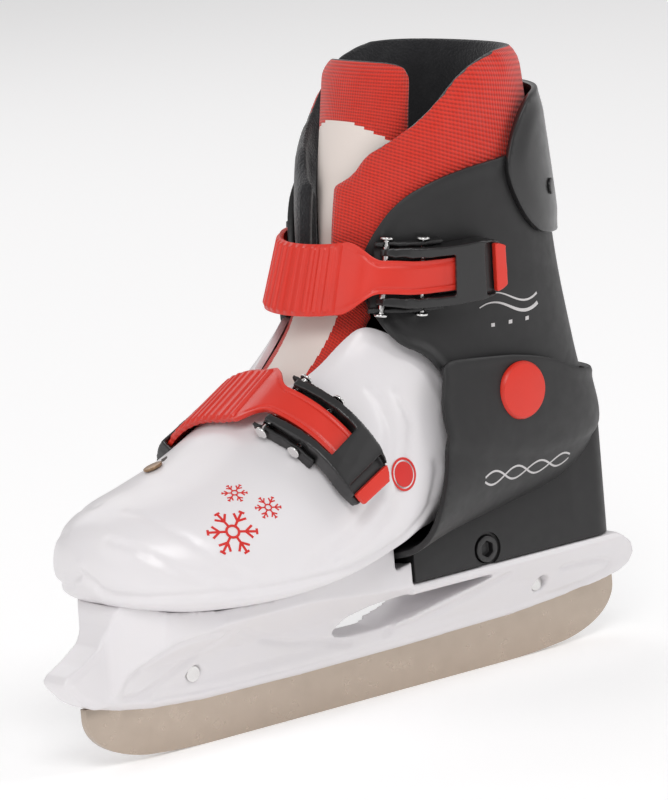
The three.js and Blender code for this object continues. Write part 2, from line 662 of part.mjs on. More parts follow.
function makeLinerToe() {
  let body = layer(LINER_INNER, LINER_OUTER, LINER_TOE_OUTLINE);
  for (const [, x] of SOLE_SCREWS) {
    body = body.subtract(rodUp(SOLE_HEAD_RADIUS + 2 + SLIDE_GAP, x, 0, 40, 70));
  }
  return body;
}

function makeFootbed() {
  const under = LINER_INNER - FIT_GAP;
  const stations = [98, 76, 56, 32, 4, -25, -56, -84];
  const top = stations.map((x) => [x, soleHeight(x) - under + FOOTBED_THICKNESS]);
  return bootBody(under).intersect(sideSlab([...top, [-84, 30], [98, 30]], -60, 60));
}

// ---------------------------------------------------------------- heel carriage

/** Where a layer's outer face stands at the pivot, measured along Y. */
function layerSide(out) {
  const a = THREE.MathUtils.degToRad(94);
  return layerPoint(placeAtHeight(PIVOT_Z, a), a, out).y;
}

const SCREW_Z = DECK_HEIGHT + SIZE_SCREW_HEIGHT;

function makeHeelShell() {
  const shell = layer(HEEL_INNER, HEEL_OUTER, HEEL_SHELL_OUTLINE);
  const plan = mirrored([
    [BASE_REAR, BASE_HALF_WIDTH - BASE_CORNER],
    [BASE_REAR + 0.3 * BASE_CORNER, BASE_HALF_WIDTH - 0.3 * BASE_CORNER],
    [BASE_REAR + BASE_CORNER, BASE_HALF_WIDTH], [BASE_FRONT, BASE_HALF_WIDTH],
  ]).reverse();
  const underShell = bootBody((HEEL_INNER + HEEL_OUTER) / 2);
  const base = planSlab(plan, DECK_HEIGHT + SLIDE_GAP, BASE_TOP).subtract(underShell);
  const channel = block(BASE_REAR + 4, 40, -RAIL_HALF_WIDTH - SLIDE_GAP, RAIL_HALF_WIDTH + SLIDE_GAP,
    DECK_HEIGHT - 1, DECK_HEIGHT + RAIL_HEIGHT + SLIDE_GAP);
  let body = shell.add(base).subtract(channel);
  body = body.subtract(rodAcross(SIZE_SCREW_RADIUS + FIT_GAP, SIZE_SCREW_X, SCREW_Z, -60, 60));
  const seat = BASE_HALF_WIDTH - SIZE_HEAD_DEPTH;
  const pocket = SIZE_HEAD_RADIUS + FIT_GAP;
  body = body.subtract(rodAcross(pocket, SIZE_SCREW_X, SCREW_Z, seat, BASE_HALF_WIDTH + 1));
  body = body.subtract(rodAcross(pocket, SIZE_SCREW_X, SCREW_Z, -BASE_HALF_WIDTH - 1, -seat));
  body = body.subtract(rodAcross(RIVET_RADIUS + FIT_GAP, PIVOT_X, PIVOT_Z, -60, 60));
  const capSeat = layerSide(HEEL_OUTER) - 0.8;
  for (const side of [-1, 1]) {
    const ends = [side * capSeat, side * 70].sort((a, b) => a - b);
    body = body.subtract(rodAcross(CAP_RADIUS + FIT_GAP, PIVOT_X, PIVOT_Z, ...ends, 32));
  }
  return body;
}

function makeSizeScrew() {
  const seat = BASE_HALF_WIDTH - SIZE_HEAD_DEPTH + 0.2;
  return union(
    rodAcross(SIZE_SCREW_RADIUS, SIZE_SCREW_X, SCREW_Z, -BASE_HALF_WIDTH + 1, seat + 0.5),
    rodAcross(SIZE_HEAD_RADIUS, SIZE_SCREW_X, SCREW_Z, seat, BASE_HALF_WIDTH, 28),
  ).subtract(rodAcross(HEX_ACROSS_FLATS / Math.sqrt(3), SIZE_SCREW_X, SCREW_Z,
    BASE_HALF_WIDTH - 2.4, BASE_HALF_WIDTH + 1, 6));
}

function makeSizeNut() {
  const seat = BASE_HALF_WIDTH - SIZE_HEAD_DEPTH + 0.2;
  return rodAcross(SIZE_HEAD_RADIUS - 0.4, SIZE_SCREW_X, SCREW_Z, -BASE_HALF_WIDTH, -seat, 6)
    .subtract(rodAcross(SIZE_SCREW_RADIUS + 0.3, SIZE_SCREW_X, SCREW_Z, -40, 0));
}

const CUFF_POCKET_Y = layerSide(CUFF_INNER) + 0.7;

/** A pivot rivet: a flange inside the cuff and a shank out to under the cap. */
function makePivotRivet(side) {
  const inner = CUFF_POCKET_Y - 1.6;
  const outer = layerSide(HEEL_OUTER) - 1.2;
  const rod = (radius, y0, y1, sides) => {
    const ends = [side * y0, side * y1].sort((a, b) => a - b);
    return rodAcross(radius, PIVOT_X, PIVOT_Z, ...ends, sides);
  };
  return union(
    rod(RIVET_FLANGE_RADIUS, inner, CUFF_POCKET_Y - FIT_GAP, 24),
    rod(RIVET_RADIUS, inner, outer, 20),
  );
}

/** The cap over a pivot rivet, a shallow dome. */
function makePivotCap(side) {
  const seat = layerSide(HEEL_OUTER) - 0.5;
  const profile = [
    [0, 0], [CAP_RADIUS, 0], [CAP_RADIUS, CAP_HEIGHT * 0.45], [CAP_RADIUS - 0.9, CAP_HEIGHT * 0.8],
    [CAP_RADIUS * 0.6, CAP_HEIGHT * 0.97], [0, CAP_HEIGHT],
  ];
  const dome = new THREE.LatheGeometry(profile.map(([r, y]) => new THREE.Vector2(r, y)), 24);
  if (side < 0) dome.rotateX(Math.PI);
  return solid(dome.translate(PIVOT_X, side * seat, PIVOT_Z));
}

const makeLinerHeel = () => layer(LINER_INNER, LINER_OUTER, LINER_HEEL_OUTLINE);

/** The tongue is cut to a half width on both sides of the middle plane. */
const tongueStrip = (inner, outer, outline, half) =>
  layer(inner, outer, outline).intersect(block(-80, 80, -half, half, 60, 240));

const makeTongueLower = () => tongueStrip(
  LINER_OUTER - TONGUE_WALL, LINER_OUTER, TONGUE_LOWER_OUTLINE, TONGUE_HALF_WIDTH - 3,
);
const makeTongueUpper = () => tongueStrip(
  TONGUE_OUTER - TONGUE_WALL, TONGUE_OUTER, TONGUE_UPPER_OUTLINE, TONGUE_HALF_WIDTH,
);

// ---------------------------------------------------------------- cuff

const SPOILER_RIVETS = [['spoiler_rivet_left', 1], ['spoiler_rivet_right', -1]]
  .map(([name, side]) => {
    const a = side * THREE.MathUtils.degToRad(128);
    return { name, frame: frameAt(placeAtHeight(168, a), a) };
  });

function makeCuff() {
  let body = layer(CUFF_INNER, CUFF_OUTER, CUFF_OUTLINE);
  body = body.subtract(rodAcross(RIVET_RADIUS + FIT_GAP, PIVOT_X, PIVOT_Z, -60, 60));
  body = body.subtract(rodAcross(RIVET_FLANGE_RADIUS + SLIDE_GAP, PIVOT_X, PIVOT_Z,
    -CUFF_POCKET_Y, CUFF_POCKET_Y));
  for (const { frame } of SPOILER_RIVETS) {
    body = body.subtract(rodAlong(frame.origin, frame.out, SMALL_RIVET_RADIUS + 0.2, -6, 20));
  }
  return body;
}

function makeSpoiler() {
  let body = layer(SPOILER_INNER, SPOILER_OUTER, SPOILER_OUTLINE);
  for (const { frame } of SPOILER_RIVETS) {
    body = body.subtract(rodAlong(frame.origin, frame.out, SMALL_RIVET_RADIUS + 0.2, -6, 20));
  }
  return body;
}

function makeSpoilerRivet({ origin, out }) {
  return union(
    rodAlong(origin, out, SMALL_RIVET_RADIUS, CUFF_INNER - 0.1, SPOILER_OUTER + 0.5, 12),
    rodAlong(origin, out, SMALL_HEAD_RADIUS, SPOILER_OUTER + 0.3, SPOILER_OUTER + 1.2, 12),
  );
}

/** The padded collar, open in front where the tongue shows. */
function makeCollar() {
  const body = layer(COLLAR_INNER, COLLAR_PROUD, COLLAR_OUTLINE);
  return body.subtract(block(-30, 40, -COLLAR_SLOT, COLLAR_SLOT, 100, 240));
}

// ---------------------------------------------------------------- buckles

const degrees = THREE.MathUtils.degToRad;

// Each strap runs round the boot at an angle that grows from the far side to the near side.
// place(a) is its ring place there; pin is the angle of the lever pin; anchor that of the far end.
const BUCKLES = [
  {
    name: 'upper',
    ground: CUFF_OUTER,
    wall: CUFF_WALL,
    place: (a) => placeAtHeight(146 + 2.5 * THREE.MathUtils.smoothstep(Math.abs(a), 0, 1.4), a),
    pin: degrees(40),
    anchor: degrees(-72),
  },
  {
    name: 'lower',
    ground: 0,
    wall: SHELL_WALL,
    place: (a) => 6.1 + 0.3 * THREE.MathUtils.smoothstep(a, 0, 1.4),
    pin: degrees(22),
    anchor: degrees(-62),
  },
];

/**
 * Seat of a buckle's pieces at angle a of its path: a flat strip as wide as the strap that
 * rests on the shell, with its directions along the strap, across it and out from the boot.
 */
function pathFrame(buckle, a) {
  const place = buckle.place(a);
  const step = 4e-3;
  const perRing = 10 * surfacePoint(place + 0.05, a).distanceTo(surfacePoint(place - 0.05, a));
  const reach = STRAP_WIDTH / 2 / perRing;
  const rear = layerPoint(place + reach, a, buckle.ground);
  const front = layerPoint(place - reach, a, buckle.ground);
  const across = rear.clone().sub(front).normalize();
  const along = surfacePoint(buckle.place(a + step), a + step)
    .sub(surfacePoint(buckle.place(a - step), a - step));
  along.addScaledVector(across, -along.dot(across)).normalize();
  const out = along.clone().cross(across);
  const origin = layerPoint(place, a, buckle.ground);
  const hollow = rear.sub(origin).dot(out);
  return { origin: origin.addScaledVector(out, Math.max(0, hollow)), along, across, out };
}

/** Angle of the path at a distance from its angle start, at a height above the surface. */
function angleAt(buckle, start, distance, height = 0) {
  const step = degrees(Math.sign(distance) || 1);
  let a = start;
  let gone = 0;
  const raised = (b) => {
    const { origin, out } = pathFrame(buckle, b);
    return origin.addScaledVector(out, height);
  };
  let last = raised(a);
  while (gone < Math.abs(distance)) {
    const next = raised(a + step);
    const hop = next.distanceTo(last);
    const share = Math.min(1, (Math.abs(distance) - gone) / hop);
    a += step * share;
    gone += hop * share;
    last = next;
  }
  return a;
}

/** A bar swept along a buckle's path; section(a, share) gives its corners [across, height]. */
function sweep(buckle, from, to, steps, section) {
  const rings = [];
  for (let i = 0; i <= steps; i += 1) {
    const share = i / steps;
    const a = from + (to - from) * share;
    const { origin, across, out } = pathFrame(buckle, a);
    rings.push(section(a, share).map(([side, height]) => origin.clone()
      .addScaledVector(across, side)
      .addScaledVector(out, height)));
  }
  return loft(rings);
}

const rectangle = (half, low, high) => [[-half, low], [half, low], [half, high], [-half, high]];

/** Centre and axis of a pin that lies across the path. */
function pinLine(buckle, distance) {
  const { origin, across, out } = pathFrame(buckle, angleAt(buckle, buckle.pin, distance));
  return { centre: origin.addScaledVector(out, PIN_HEIGHT), axis: across };
}

const acrossRod = ({ centre, axis }, radius, half, sides = 14) =>
  rodAlong(centre, axis, radius, -half, half, sides);

const PIN_SPACE = 0.25;             // round each pin

/** A piece's underside, moulded to the shell that it is fixed to. */
const seated = (buckle, body) => body.subtract(bootBody(buckle.ground + FIT_GAP));

/** The channel that holds the lever, moulded to the shell under it. */
function makeBuckleBase(buckle) {
  const start = angleAt(buckle, buckle.pin, -4);
  const end = angleAt(buckle, buckle.pin, CHANNEL_LENGTH);
  const inside = CHANNEL_HALF_WIDTH - CHANNEL_WALL;
  const over = degrees(8);
  const channel = sweep(buckle, start - over, end + over, 6, () => rectangle(inside, -4, 16))
    .subtract(sweep(buckle, start - 2 * over, end + 2 * over, 6, () =>
      rectangle(inside + 4, -6, FIT_GAP + CHANNEL_FLOOR)));
  const outer = sweep(buckle, start, end, 4, () =>
    rectangle(CHANNEL_HALF_WIDTH, -3, CHANNEL_HEIGHT));
  return seated(buckle, outer)
    .subtract(channel)
    .subtract(acrossRod(pinLine(buckle, 0), PIN_RADIUS + PIN_SPACE, 30))
    .subtract(acrossRod(pinLine(buckle, PAWL_PIN_PLACE), PAWL_PIN_RADIUS + PIN_SPACE, 30));
}

/** A pin across the base with a head on each side. */
function makePin(buckle, distance, radius) {
  const line = pinLine(buckle, distance);
  const face = CHANNEL_HALF_WIDTH + 0.5;
  return union(
    acrossRod(line, radius, face + PIN_HEAD_HEIGHT / 2, 12),
    rodAlong(line.centre, line.axis, PIN_HEAD_RADIUS, face, face + PIN_HEAD_HEIGHT, 12),
    rodAlong(line.centre, line.axis, PIN_HEAD_RADIUS, -face - PIN_HEAD_HEIGHT, -face, 12),
  );
}

const LEVER_HALF_WIDTH = CHANNEL_HALF_WIDTH - CHANNEL_WALL - 0.35;
const LEVER_SLOT = LEVER_HALF_WIDTH - LEVER_ARM;
const BRIDGE_UNDERSIDE = LEVER_TOP - LEVER_BRIDGE_THICKNESS;

/** The fork: two arms from the pin, joined by a bridge over the strap's tail. */
function makeLever(buckle) {
  const { pin } = buckle;
  const tail = angleAt(buckle, pin, LEVER_LENGTH);
  const armLow = (share) => (share < 0.45 ? PIN_HEIGHT + PIN_RADIUS + 0.6 : 2.4);
  let body = sweep(buckle, pin, tail, 10, (a, share) => {
    const round = 1.6 * Math.max(0, (share - 0.85) / 0.15);
    const nose = 0.6 * Math.max(0, 1 - share / 0.2);
    return rectangle(LEVER_HALF_WIDTH - 1.4 * round - nose, armLow(share) + 0.4 * round,
      LEVER_TOP - 1.6 * (1 - THREE.MathUtils.smoothstep(share, 0, 0.5)) - 0.6 * round);
  });
  body = body.add(leverHub(buckle));
  const slotEnd = angleAt(buckle, pin, LEVER_BRIDGE_START);
  body = body.subtract(sweep(buckle, pin - degrees(20), slotEnd, 7, () =>
    rectangle(LEVER_SLOT, -2, 20)));
  const hollowEnd = angleAt(buckle, pin, LEVER_LENGTH - LEVER_TAIL_BLOCK);
  body = body.subtract(sweep(buckle, pin - degrees(20), hollowEnd, 9, () =>
    rectangle(LEVER_SLOT, -2, BRIDGE_UNDERSIDE)));
  const tabStart = angleAt(buckle, pin, LEVER_LENGTH - TAB_LENGTH - TAB_TRAVEL - 0.6);
  body = body.subtract(sweep(buckle, tabStart, tail + degrees(6), 5, () =>
    rectangle(TAB_HALF_WIDTH + TAB_SIDE_GAP, LEVER_TOP - TAB_HEIGHT, LEVER_TOP + 4)));
  return body.subtract(acrossRod(pinLine(buckle, 0), PIN_RADIUS + PIN_SPACE, 30));
}

/** The boss of the fork arms round the pin, joined up to the arms. */
function leverHub(buckle) {
  const reach = PIN_HEIGHT - FIT_GAP - CHANNEL_FLOOR - 0.3;
  const line = pinLine(buckle, 0);
  const { along, across, out } = pathFrame(buckle, buckle.pin);
  const height = LEVER_TOP - PIN_HEIGHT - 2.4;
  const half = LEVER_HALF_WIDTH - 0.8;
  const box = new THREE.BoxGeometry(reach + 0.5, 2 * half, height)
    .translate((reach - 0.5) / 2, 0, height / 2);
  const place = new THREE.Matrix4().makeBasis(along, across, out).setPosition(line.centre);
  return acrossRod(line, reach, half).add(solid(box.applyMatrix4(place)));
}

/** The sprung pawl under the strap: a boss on its pin and an arm with one tooth. */
function makePawl(buckle) {
  const line = pinLine(buckle, PAWL_PIN_PLACE);
  const { along, across, out } = pathFrame(buckle, angleAt(buckle, buckle.pin, PAWL_PIN_PLACE));
  const end = PAWL_ARM_LENGTH;
  const arm = [[0, -0.9], [end, -1.6], [end, -0.8], [end - 1.8, 0], [end - 2.4, -0.4], [0, 0.6]]
    .map(([x, y]) => new THREE.Vector2(x, y));
  const bar = new THREE.ExtrudeGeometry(new THREE.Shape(arm),
    { depth: 2 * PAWL_HALF_WIDTH, steps: 1, bevelEnabled: false });
  bar.translate(0, 0, -PAWL_HALF_WIDTH);
  const place = new THREE.Matrix4().makeBasis(along, out, across.negate()).setPosition(line.centre);
  return acrossRod(line, PAWL_BOSS_RADIUS, PAWL_HALF_WIDTH, 14)
    .add(solid(bar.applyMatrix4(place)))
    .subtract(acrossRod(line, PAWL_PIN_RADIUS + PIN_SPACE, 30, 14));
}

/** The release tab in the end of the lever. */
function makeTab(buckle) {
  const tabStart = angleAt(buckle, buckle.pin, LEVER_LENGTH - TAB_LENGTH);
  const tail = angleAt(buckle, buckle.pin, LEVER_LENGTH + 0.8);
  const low = LEVER_TOP - TAB_HEIGHT + 0.4;
  return sweep(buckle, tabStart, tail, 4, (a, share) =>
    rectangle(TAB_HALF_WIDTH - 1.5 * share * share, low, LEVER_TOP + 0.4 - 0.9 * share));
}

/** Height of a strap's underside at angle a: it climbs over the lever pin. */
function strapHeight(buckle, a) {
  const climb = THREE.MathUtils.smoothstep(a, buckle.pin - degrees(26), buckle.pin - degrees(6));
  return STRAP_REST_HEIGHT + (STRAP_HEIGHT - STRAP_REST_HEIGHT) * climb;
}

const anchorAngle = (buckle, distance) => angleAt(buckle, buckle.anchor, distance);

/** The moulded strap from its far anchor to the tail under the lever's bridge. */
function makeStrap(buckle) {
  const wideEnd = angleAt(buckle, buckle.pin, -5.5);
  const tailEnd = angleAt(buckle, buckle.pin, STRAP_TAIL_LENGTH);
  const start = anchorAngle(buckle, 2.5);
  const strip = (from, to, steps, width) => sweep(buckle, from, to, steps, (a) => {
    const low = strapHeight(buckle, a);
    return rectangle(width / 2, low, low + STRAP_THICKNESS);
  });
  const body = union(
    strip(start, wideEnd, 16, STRAP_WIDTH),
    strip(wideEnd - degrees(3), tailEnd, 7, STRAP_TAIL_WIDTH),
  );
  const { origin, out } = pathFrame(buckle, anchorAngle(buckle, ANCHOR_LENGTH / 2));
  return body.subtract(rodAlong(origin, out, SMALL_RIVET_RADIUS + 0.2, -20, 30));
}

/** The cover that holds the strap's far end. */
function makeAnchor(buckle) {
  const high = STRAP_REST_HEIGHT + STRAP_THICKNESS + ANCHOR_WALL;
  const half = STRAP_WIDTH / 2 + ANCHOR_WALL;
  let body = seated(buckle, sweep(
    buckle, anchorAngle(buckle, 0), anchorAngle(buckle, ANCHOR_LENGTH), 4,
    (a, share) => rectangle(half - 3 * (1 - share) ** 2, -3, high - 1.5 * (1 - share) ** 2),
  ));
  const slotTop = STRAP_REST_HEIGHT + STRAP_THICKNESS + FIT_GAP;
  const slotEnd = anchorAngle(buckle, ANCHOR_LENGTH + 9);
  body = body.subtract(sweep(buckle, anchorAngle(buckle, 2), slotEnd, 12, () =>
    rectangle(STRAP_WIDTH / 2 + FIT_GAP, STRAP_REST_HEIGHT - FIT_GAP, slotTop)));
  const { origin, out } = pathFrame(buckle, anchorAngle(buckle, ANCHOR_LENGTH / 2));
  return body.subtract(rodAlong(origin, out, SMALL_RIVET_RADIUS + 0.2, -20, 30));
}

/** The rivet through the anchor, the strap's end and the shell under them. */
function makeAnchorRivet(buckle) {
  const { origin, out } = pathFrame(buckle, anchorAngle(buckle, ANCHOR_LENGTH / 2));
  const top = STRAP_REST_HEIGHT + STRAP_THICKNESS + ANCHOR_WALL;
  return union(
    rodAlong(origin, out, SMALL_RIVET_RADIUS, -buckle.wall, top + 0.5, 12),
    rodAlong(origin, out, SMALL_HEAD_RADIUS, top + 0.2, top + 1.1, 12),
  );
}

/** The shell's hole for an anchor rivet. */
function anchorHole(buckle) {
  const { origin, out } = pathFrame(buckle, anchorAngle(buckle, ANCHOR_LENGTH / 2));
  return rodAlong(origin, out, SMALL_RIVET_RADIUS + 0.2, -6, 12);
}

// ---------------------------------------------------------------- assembly

const skate = new THREE.Group();
skate.name = 'ice_skate';

const [upper, lower] = BUCKLES;

skate.add(
  piece('runner', makeRunner(), STEEL),
  ...RUNNER_RIVETS.map(([name, x]) => piece(name, makeRunnerRivet(x), CHROME)),
  piece('blade_holder', makeHolder(), WHITE_SHELL),
  ...SOLE_SCREWS.map(([name, x]) => piece(name, makeSoleScrew(x), CHROME)),
  piece('front_shell', makeFrontShell().subtract(anchorHole(lower)), WHITE_SHELL),
  piece('toe_rivet', makeToeRivet(), CHROME),
  piece('liner_toe', makeLinerToe(), FLEECE),
  piece('footbed', makeFootbed(), FOAM),
  piece('heel_shell', makeHeelShell(), BLACK_SHELL),
  piece('size_screw', makeSizeScrew(), BLACK_SHELL),
  piece('size_nut', makeSizeNut(), CHROME),
  piece('pivot_rivet_left', makePivotRivet(1), CHROME),
  piece('pivot_rivet_right', makePivotRivet(-1), CHROME),
  piece('pivot_cap_left', makePivotCap(1), RED_PLASTIC),
  piece('pivot_cap_right', makePivotCap(-1), RED_PLASTIC),
  piece('liner_heel', makeLinerHeel(), FLEECE),
  piece('tongue_lower', makeTongueLower(), PANEL),
  piece('cuff', makeCuff().subtract(anchorHole(upper)), BLACK_SHELL),
  piece('rear_spoiler', makeSpoiler(), BLACK_SHELL),
  ...SPOILER_RIVETS.map(({ name, frame }) => piece(name, makeSpoilerRivet(frame), CHROME)),
  piece('liner_collar', makeCollar(), RED_MESH),
  piece('tongue_upper', makeTongueUpper(), RED_MESH),
);

for (const buckle of BUCKLES) {
  skate.add(
    piece(`${buckle.name}_buckle_base`, makeBuckleBase(buckle), BLACK_SHELL),
    piece(`${buckle.name}_lever`, makeLever(buckle), BLACK_SHELL),
    piece(`${buckle.name}_lever_pin`, makePin(buckle, 0, PIN_RADIUS), CHROME),
    piece(`${buckle.name}_pawl_pin`, makePin(buckle, PAWL_PIN_PLACE, PAWL_PIN_RADIUS), CHROME),
    piece(`${buckle.name}_pawl`, makePawl(buckle), BLACK_SHELL),
    piece(`${buckle.name}_release_tab`, makeTab(buckle), RED_PLASTIC),
    piece(`${buckle.name}_strap`, makeStrap(buckle), RED_PLASTIC),
    piece(`${buckle.name}_strap_anchor`, makeAnchor(buckle), BLACK_SHELL),
    piece(`${buckle.name}_anchor_rivet`, makeAnchorRivet(buckle), CHROME),
  );
}

export default skate;
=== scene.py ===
"""Builds and dresses a child's size-adjustable hard-shell ice skate, for the left foot.

+X points to the toe, +Y to the wearer's outer side, where the buckle levers are, and +Z up.
Shapes are worked out in millimetres and become metres when a mesh is made.
"""
import logging
import math
from dataclasses import dataclass, field
from enum import Enum
from typing import Callable, Optional, Sequence

import bmesh
import bpy
import numpy as np
from mathutils import Matrix, Vector


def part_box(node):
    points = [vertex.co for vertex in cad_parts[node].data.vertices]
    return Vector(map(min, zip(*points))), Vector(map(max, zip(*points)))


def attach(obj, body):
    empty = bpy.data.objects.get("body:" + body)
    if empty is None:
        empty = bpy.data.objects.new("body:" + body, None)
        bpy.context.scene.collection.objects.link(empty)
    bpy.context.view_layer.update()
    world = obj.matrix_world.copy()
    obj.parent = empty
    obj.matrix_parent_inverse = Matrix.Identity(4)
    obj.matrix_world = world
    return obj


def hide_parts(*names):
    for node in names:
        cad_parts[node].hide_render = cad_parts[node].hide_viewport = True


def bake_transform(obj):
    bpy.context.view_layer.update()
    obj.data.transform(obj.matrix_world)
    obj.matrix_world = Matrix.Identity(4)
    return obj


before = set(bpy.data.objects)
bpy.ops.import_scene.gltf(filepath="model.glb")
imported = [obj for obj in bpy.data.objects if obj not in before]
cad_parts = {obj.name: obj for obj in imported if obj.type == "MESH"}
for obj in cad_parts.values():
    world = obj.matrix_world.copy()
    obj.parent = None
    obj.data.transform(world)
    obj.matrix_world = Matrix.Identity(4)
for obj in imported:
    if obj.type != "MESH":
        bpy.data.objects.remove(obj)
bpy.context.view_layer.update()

LOG = logging.getLogger("ice_skate")
MM = 0.001
Outline = Sequence[tuple[float, float]]
Line = Sequence[tuple[float, float, float]]


# ---------------------------------------------------------------- finishes


class Weave(Enum):
    """The small relief that a finish carries."""

    GRAIN = "moulded grain"
    RIBS = "ribbed mesh"
    FLEECE = "brushed pile"
    LEATHER = "synthetic leather"
    GROUND = "ground metal"
    PLATED = "plated metal"
    INK = "printed ink"


@dataclass(frozen=True)
class Finish:
    """One finish of the skate, with its colour in linear light."""

    name: str
    slot: str
    colour: tuple[float, float, float]
    weave: Weave
    roughness: float = 0.45
    metallic: float = 0.0
    relief: float = 0.12
    pitch: float = 0.3
    shade: tuple[float, float, float] = (0.0, 0.0, 0.0)
    mottle: float = 0.1
    coat: float = 0.0
    sheen: float = 0.0

    def material(self) -> bpy.types.Material:
        """Makes the material once and gives it back after that.

        Returns:
            The node material of this finish.
        """
        made = bpy.data.materials.get(self.name)
        return made or Dresser(self).material


class Dresser:
    """Builds the nodes of one finish."""

    def __init__(self, finish: Finish) -> None:
        """Starts a material and fills it in.

        Args:
            finish: The finish to build.
        """
        self.finish = finish
        self.material = bpy.data.materials.new(finish.name)
        self.material.use_nodes = True
        self.nodes = self.material.node_tree.nodes
        self.links = self.material.node_tree.links
        self.shader = self.nodes["Principled BSDF"]
        self.place = self.nodes.new("ShaderNodeTexCoord").outputs["Object"]
        self.shader.inputs["Metallic"].default_value = finish.metallic
        self.shader.inputs["Coat Weight"].default_value = finish.coat
        self.shader.inputs["Coat Roughness"].default_value = 0.12
        self.shader.inputs["Sheen Weight"].default_value = finish.sheen
        self.shader.inputs["Sheen Roughness"].default_value = 0.5
        self._colour()
        self._surface()

    def noise(self, size: float, detail: float = 3.0, stretch: Sequence[float] = (1, 1, 1)):
        """A noise value between 0 and 1.

        Args:
            size: Size of its blotches, in millimetres.
            detail: How many finer layers it has.
            stretch: Factors on the object's coordinates.

        Returns:
            The output socket with the value.
        """
        mapping = self.nodes.new("ShaderNodeMapping")
        mapping.inputs["Scale"].default_value = stretch
        node = self.nodes.new("ShaderNodeTexNoise")
        node.inputs["Scale"].default_value = 1000.0 / size
        node.inputs["Detail"].default_value = detail
        self.links.new(self.place, mapping.inputs["Vector"])
        self.links.new(mapping.outputs["Vector"], node.inputs["Vector"])
        return node.outputs["Fac"]

    def remap(self, value, low: float, high: float, start: float = 0.3, end: float = 0.7):
        """A value moved from one range to another.

        Args:
            value: The socket to read.
            low: Result at start.
            high: Result at end.
            start: Lower end of the range read.
            end: Upper end of the range read.

        Returns:
            The output socket with the result.
        """
        node = self.nodes.new("ShaderNodeMapRange")
        for name, number in zip(("From Min", "From Max", "To Min", "To Max"), (start, end, low, high)):
            node.inputs[name].default_value = number
        self.links.new(value, node.inputs["Value"])
        return node.outputs["Result"]

    def _colour(self) -> None:
        """Colour with soft blotches, and painted shade that darkens the hollows of cloth."""
        finish = self.finish
        mix = self.nodes.new("ShaderNodeMix")
        mix.data_type = "RGBA"
        mix.inputs["A"].default_value = (*finish.colour, 1)
        mix.inputs["B"].default_value = (*(c * 0.82 + s for c, s in zip(finish.colour, finish.shade)), 1)
        self.links.new(self.remap(self.noise(14, 4), 0, finish.mottle * 6), mix.inputs["Factor"])
        colour = mix.outputs["Result"]
        if finish.weave in (Weave.RIBS, Weave.FLEECE):
            # Painted shade: where the relief of the ribs or pile is low, the colour is darkened towards
            # 45% of itself.
            hollow = self.nodes.new("ShaderNodeMix")
            hollow.data_type = "RGBA"
            hollow.inputs["B"].default_value = (*(c * 0.45 for c in finish.colour), 1)
            self.links.new(colour, hollow.inputs["A"])
            self.links.new(self.remap(self._height(), 0.75, 0.0, 0.1, 0.7), hollow.inputs["Factor"])
            colour = hollow.outputs["Result"]
        self.links.new(colour, self.shader.inputs["Base Color"])

    def _height(self):
        """Height of the finish's small relief, from 0 to 1.

        Returns:
            The output socket with the height.
        """
        weave, pitch = self.finish.weave, self.finish.pitch
        if weave is Weave.RIBS:
            ribs = self._wave(pitch, "Y")
            knots = self._wave(pitch * 0.8, "X")
            add = self.nodes.new("ShaderNodeMath")
            add.operation = "MULTIPLY_ADD"
            add.inputs[1].default_value = 0.3
            self.links.new(knots, add.inputs[0])
            self.links.new(self.remap(ribs, 0, 0.7, 0, 1), add.inputs[2])
            return add.outputs["Value"]
        if weave is Weave.LEATHER:
            cells = self.nodes.new("ShaderNodeTexVoronoi")
            cells.feature = "DISTANCE_TO_EDGE"
            cells.inputs["Scale"].default_value = 1000.0 / pitch
            self.links.new(self.place, cells.inputs["Vector"])
            return self.remap(cells.outputs["Distance"], 0, 1, 0, 0.35)
        if weave is Weave.GROUND:
            return self.noise(pitch, 6, (0.06, 1, 1))
        return self.noise(pitch, 3 if weave is Weave.GRAIN else 8)

    def _wave(self, pitch: float, direction: str):
        """Even ribs along the piece's own map, which is in millimetres.

        Args:
            pitch: Distance from rib to rib, in millimetres.
            direction: X or Y, the way the ribs follow one another.

        Returns:
            The output socket with the height.
        """
        wave = self.nodes.new("ShaderNodeTexWave")
        wave.bands_direction = direction
        wave.inputs["Scale"].default_value = math.pi / 10 / pitch
        wave.inputs["Distortion"].default_value = 0.3
        wave.inputs["Detail Scale"].default_value = 0.4
        uv = self.nodes.new("ShaderNodeUVMap")
        uv.uv_map = "mm"
        self.links.new(uv.outputs["UV"], wave.inputs["Vector"])
        return wave.outputs["Fac"]

    def _surface(self) -> None:
        """Roughness with wear, and the bump."""
        finish = self.finish
        spread = 0.05 if finish.weave in (Weave.GRAIN, Weave.INK) else 0.1
        rough = self.remap(self.noise(5, 5), finish.roughness - spread, finish.roughness + spread)
        self.links.new(rough, self.shader.inputs["Roughness"])
        bump = self.nodes.new("ShaderNodeBump")
        bump.inputs["Strength"].default_value = min(1.0, finish.relief * 4)
        bump.inputs["Distance"].default_value = finish.relief * MM
        self.links.new(self._height(), bump.inputs["Height"])
        self.links.new(bump.outputs["Normal"], self.shader.inputs["Normal"])


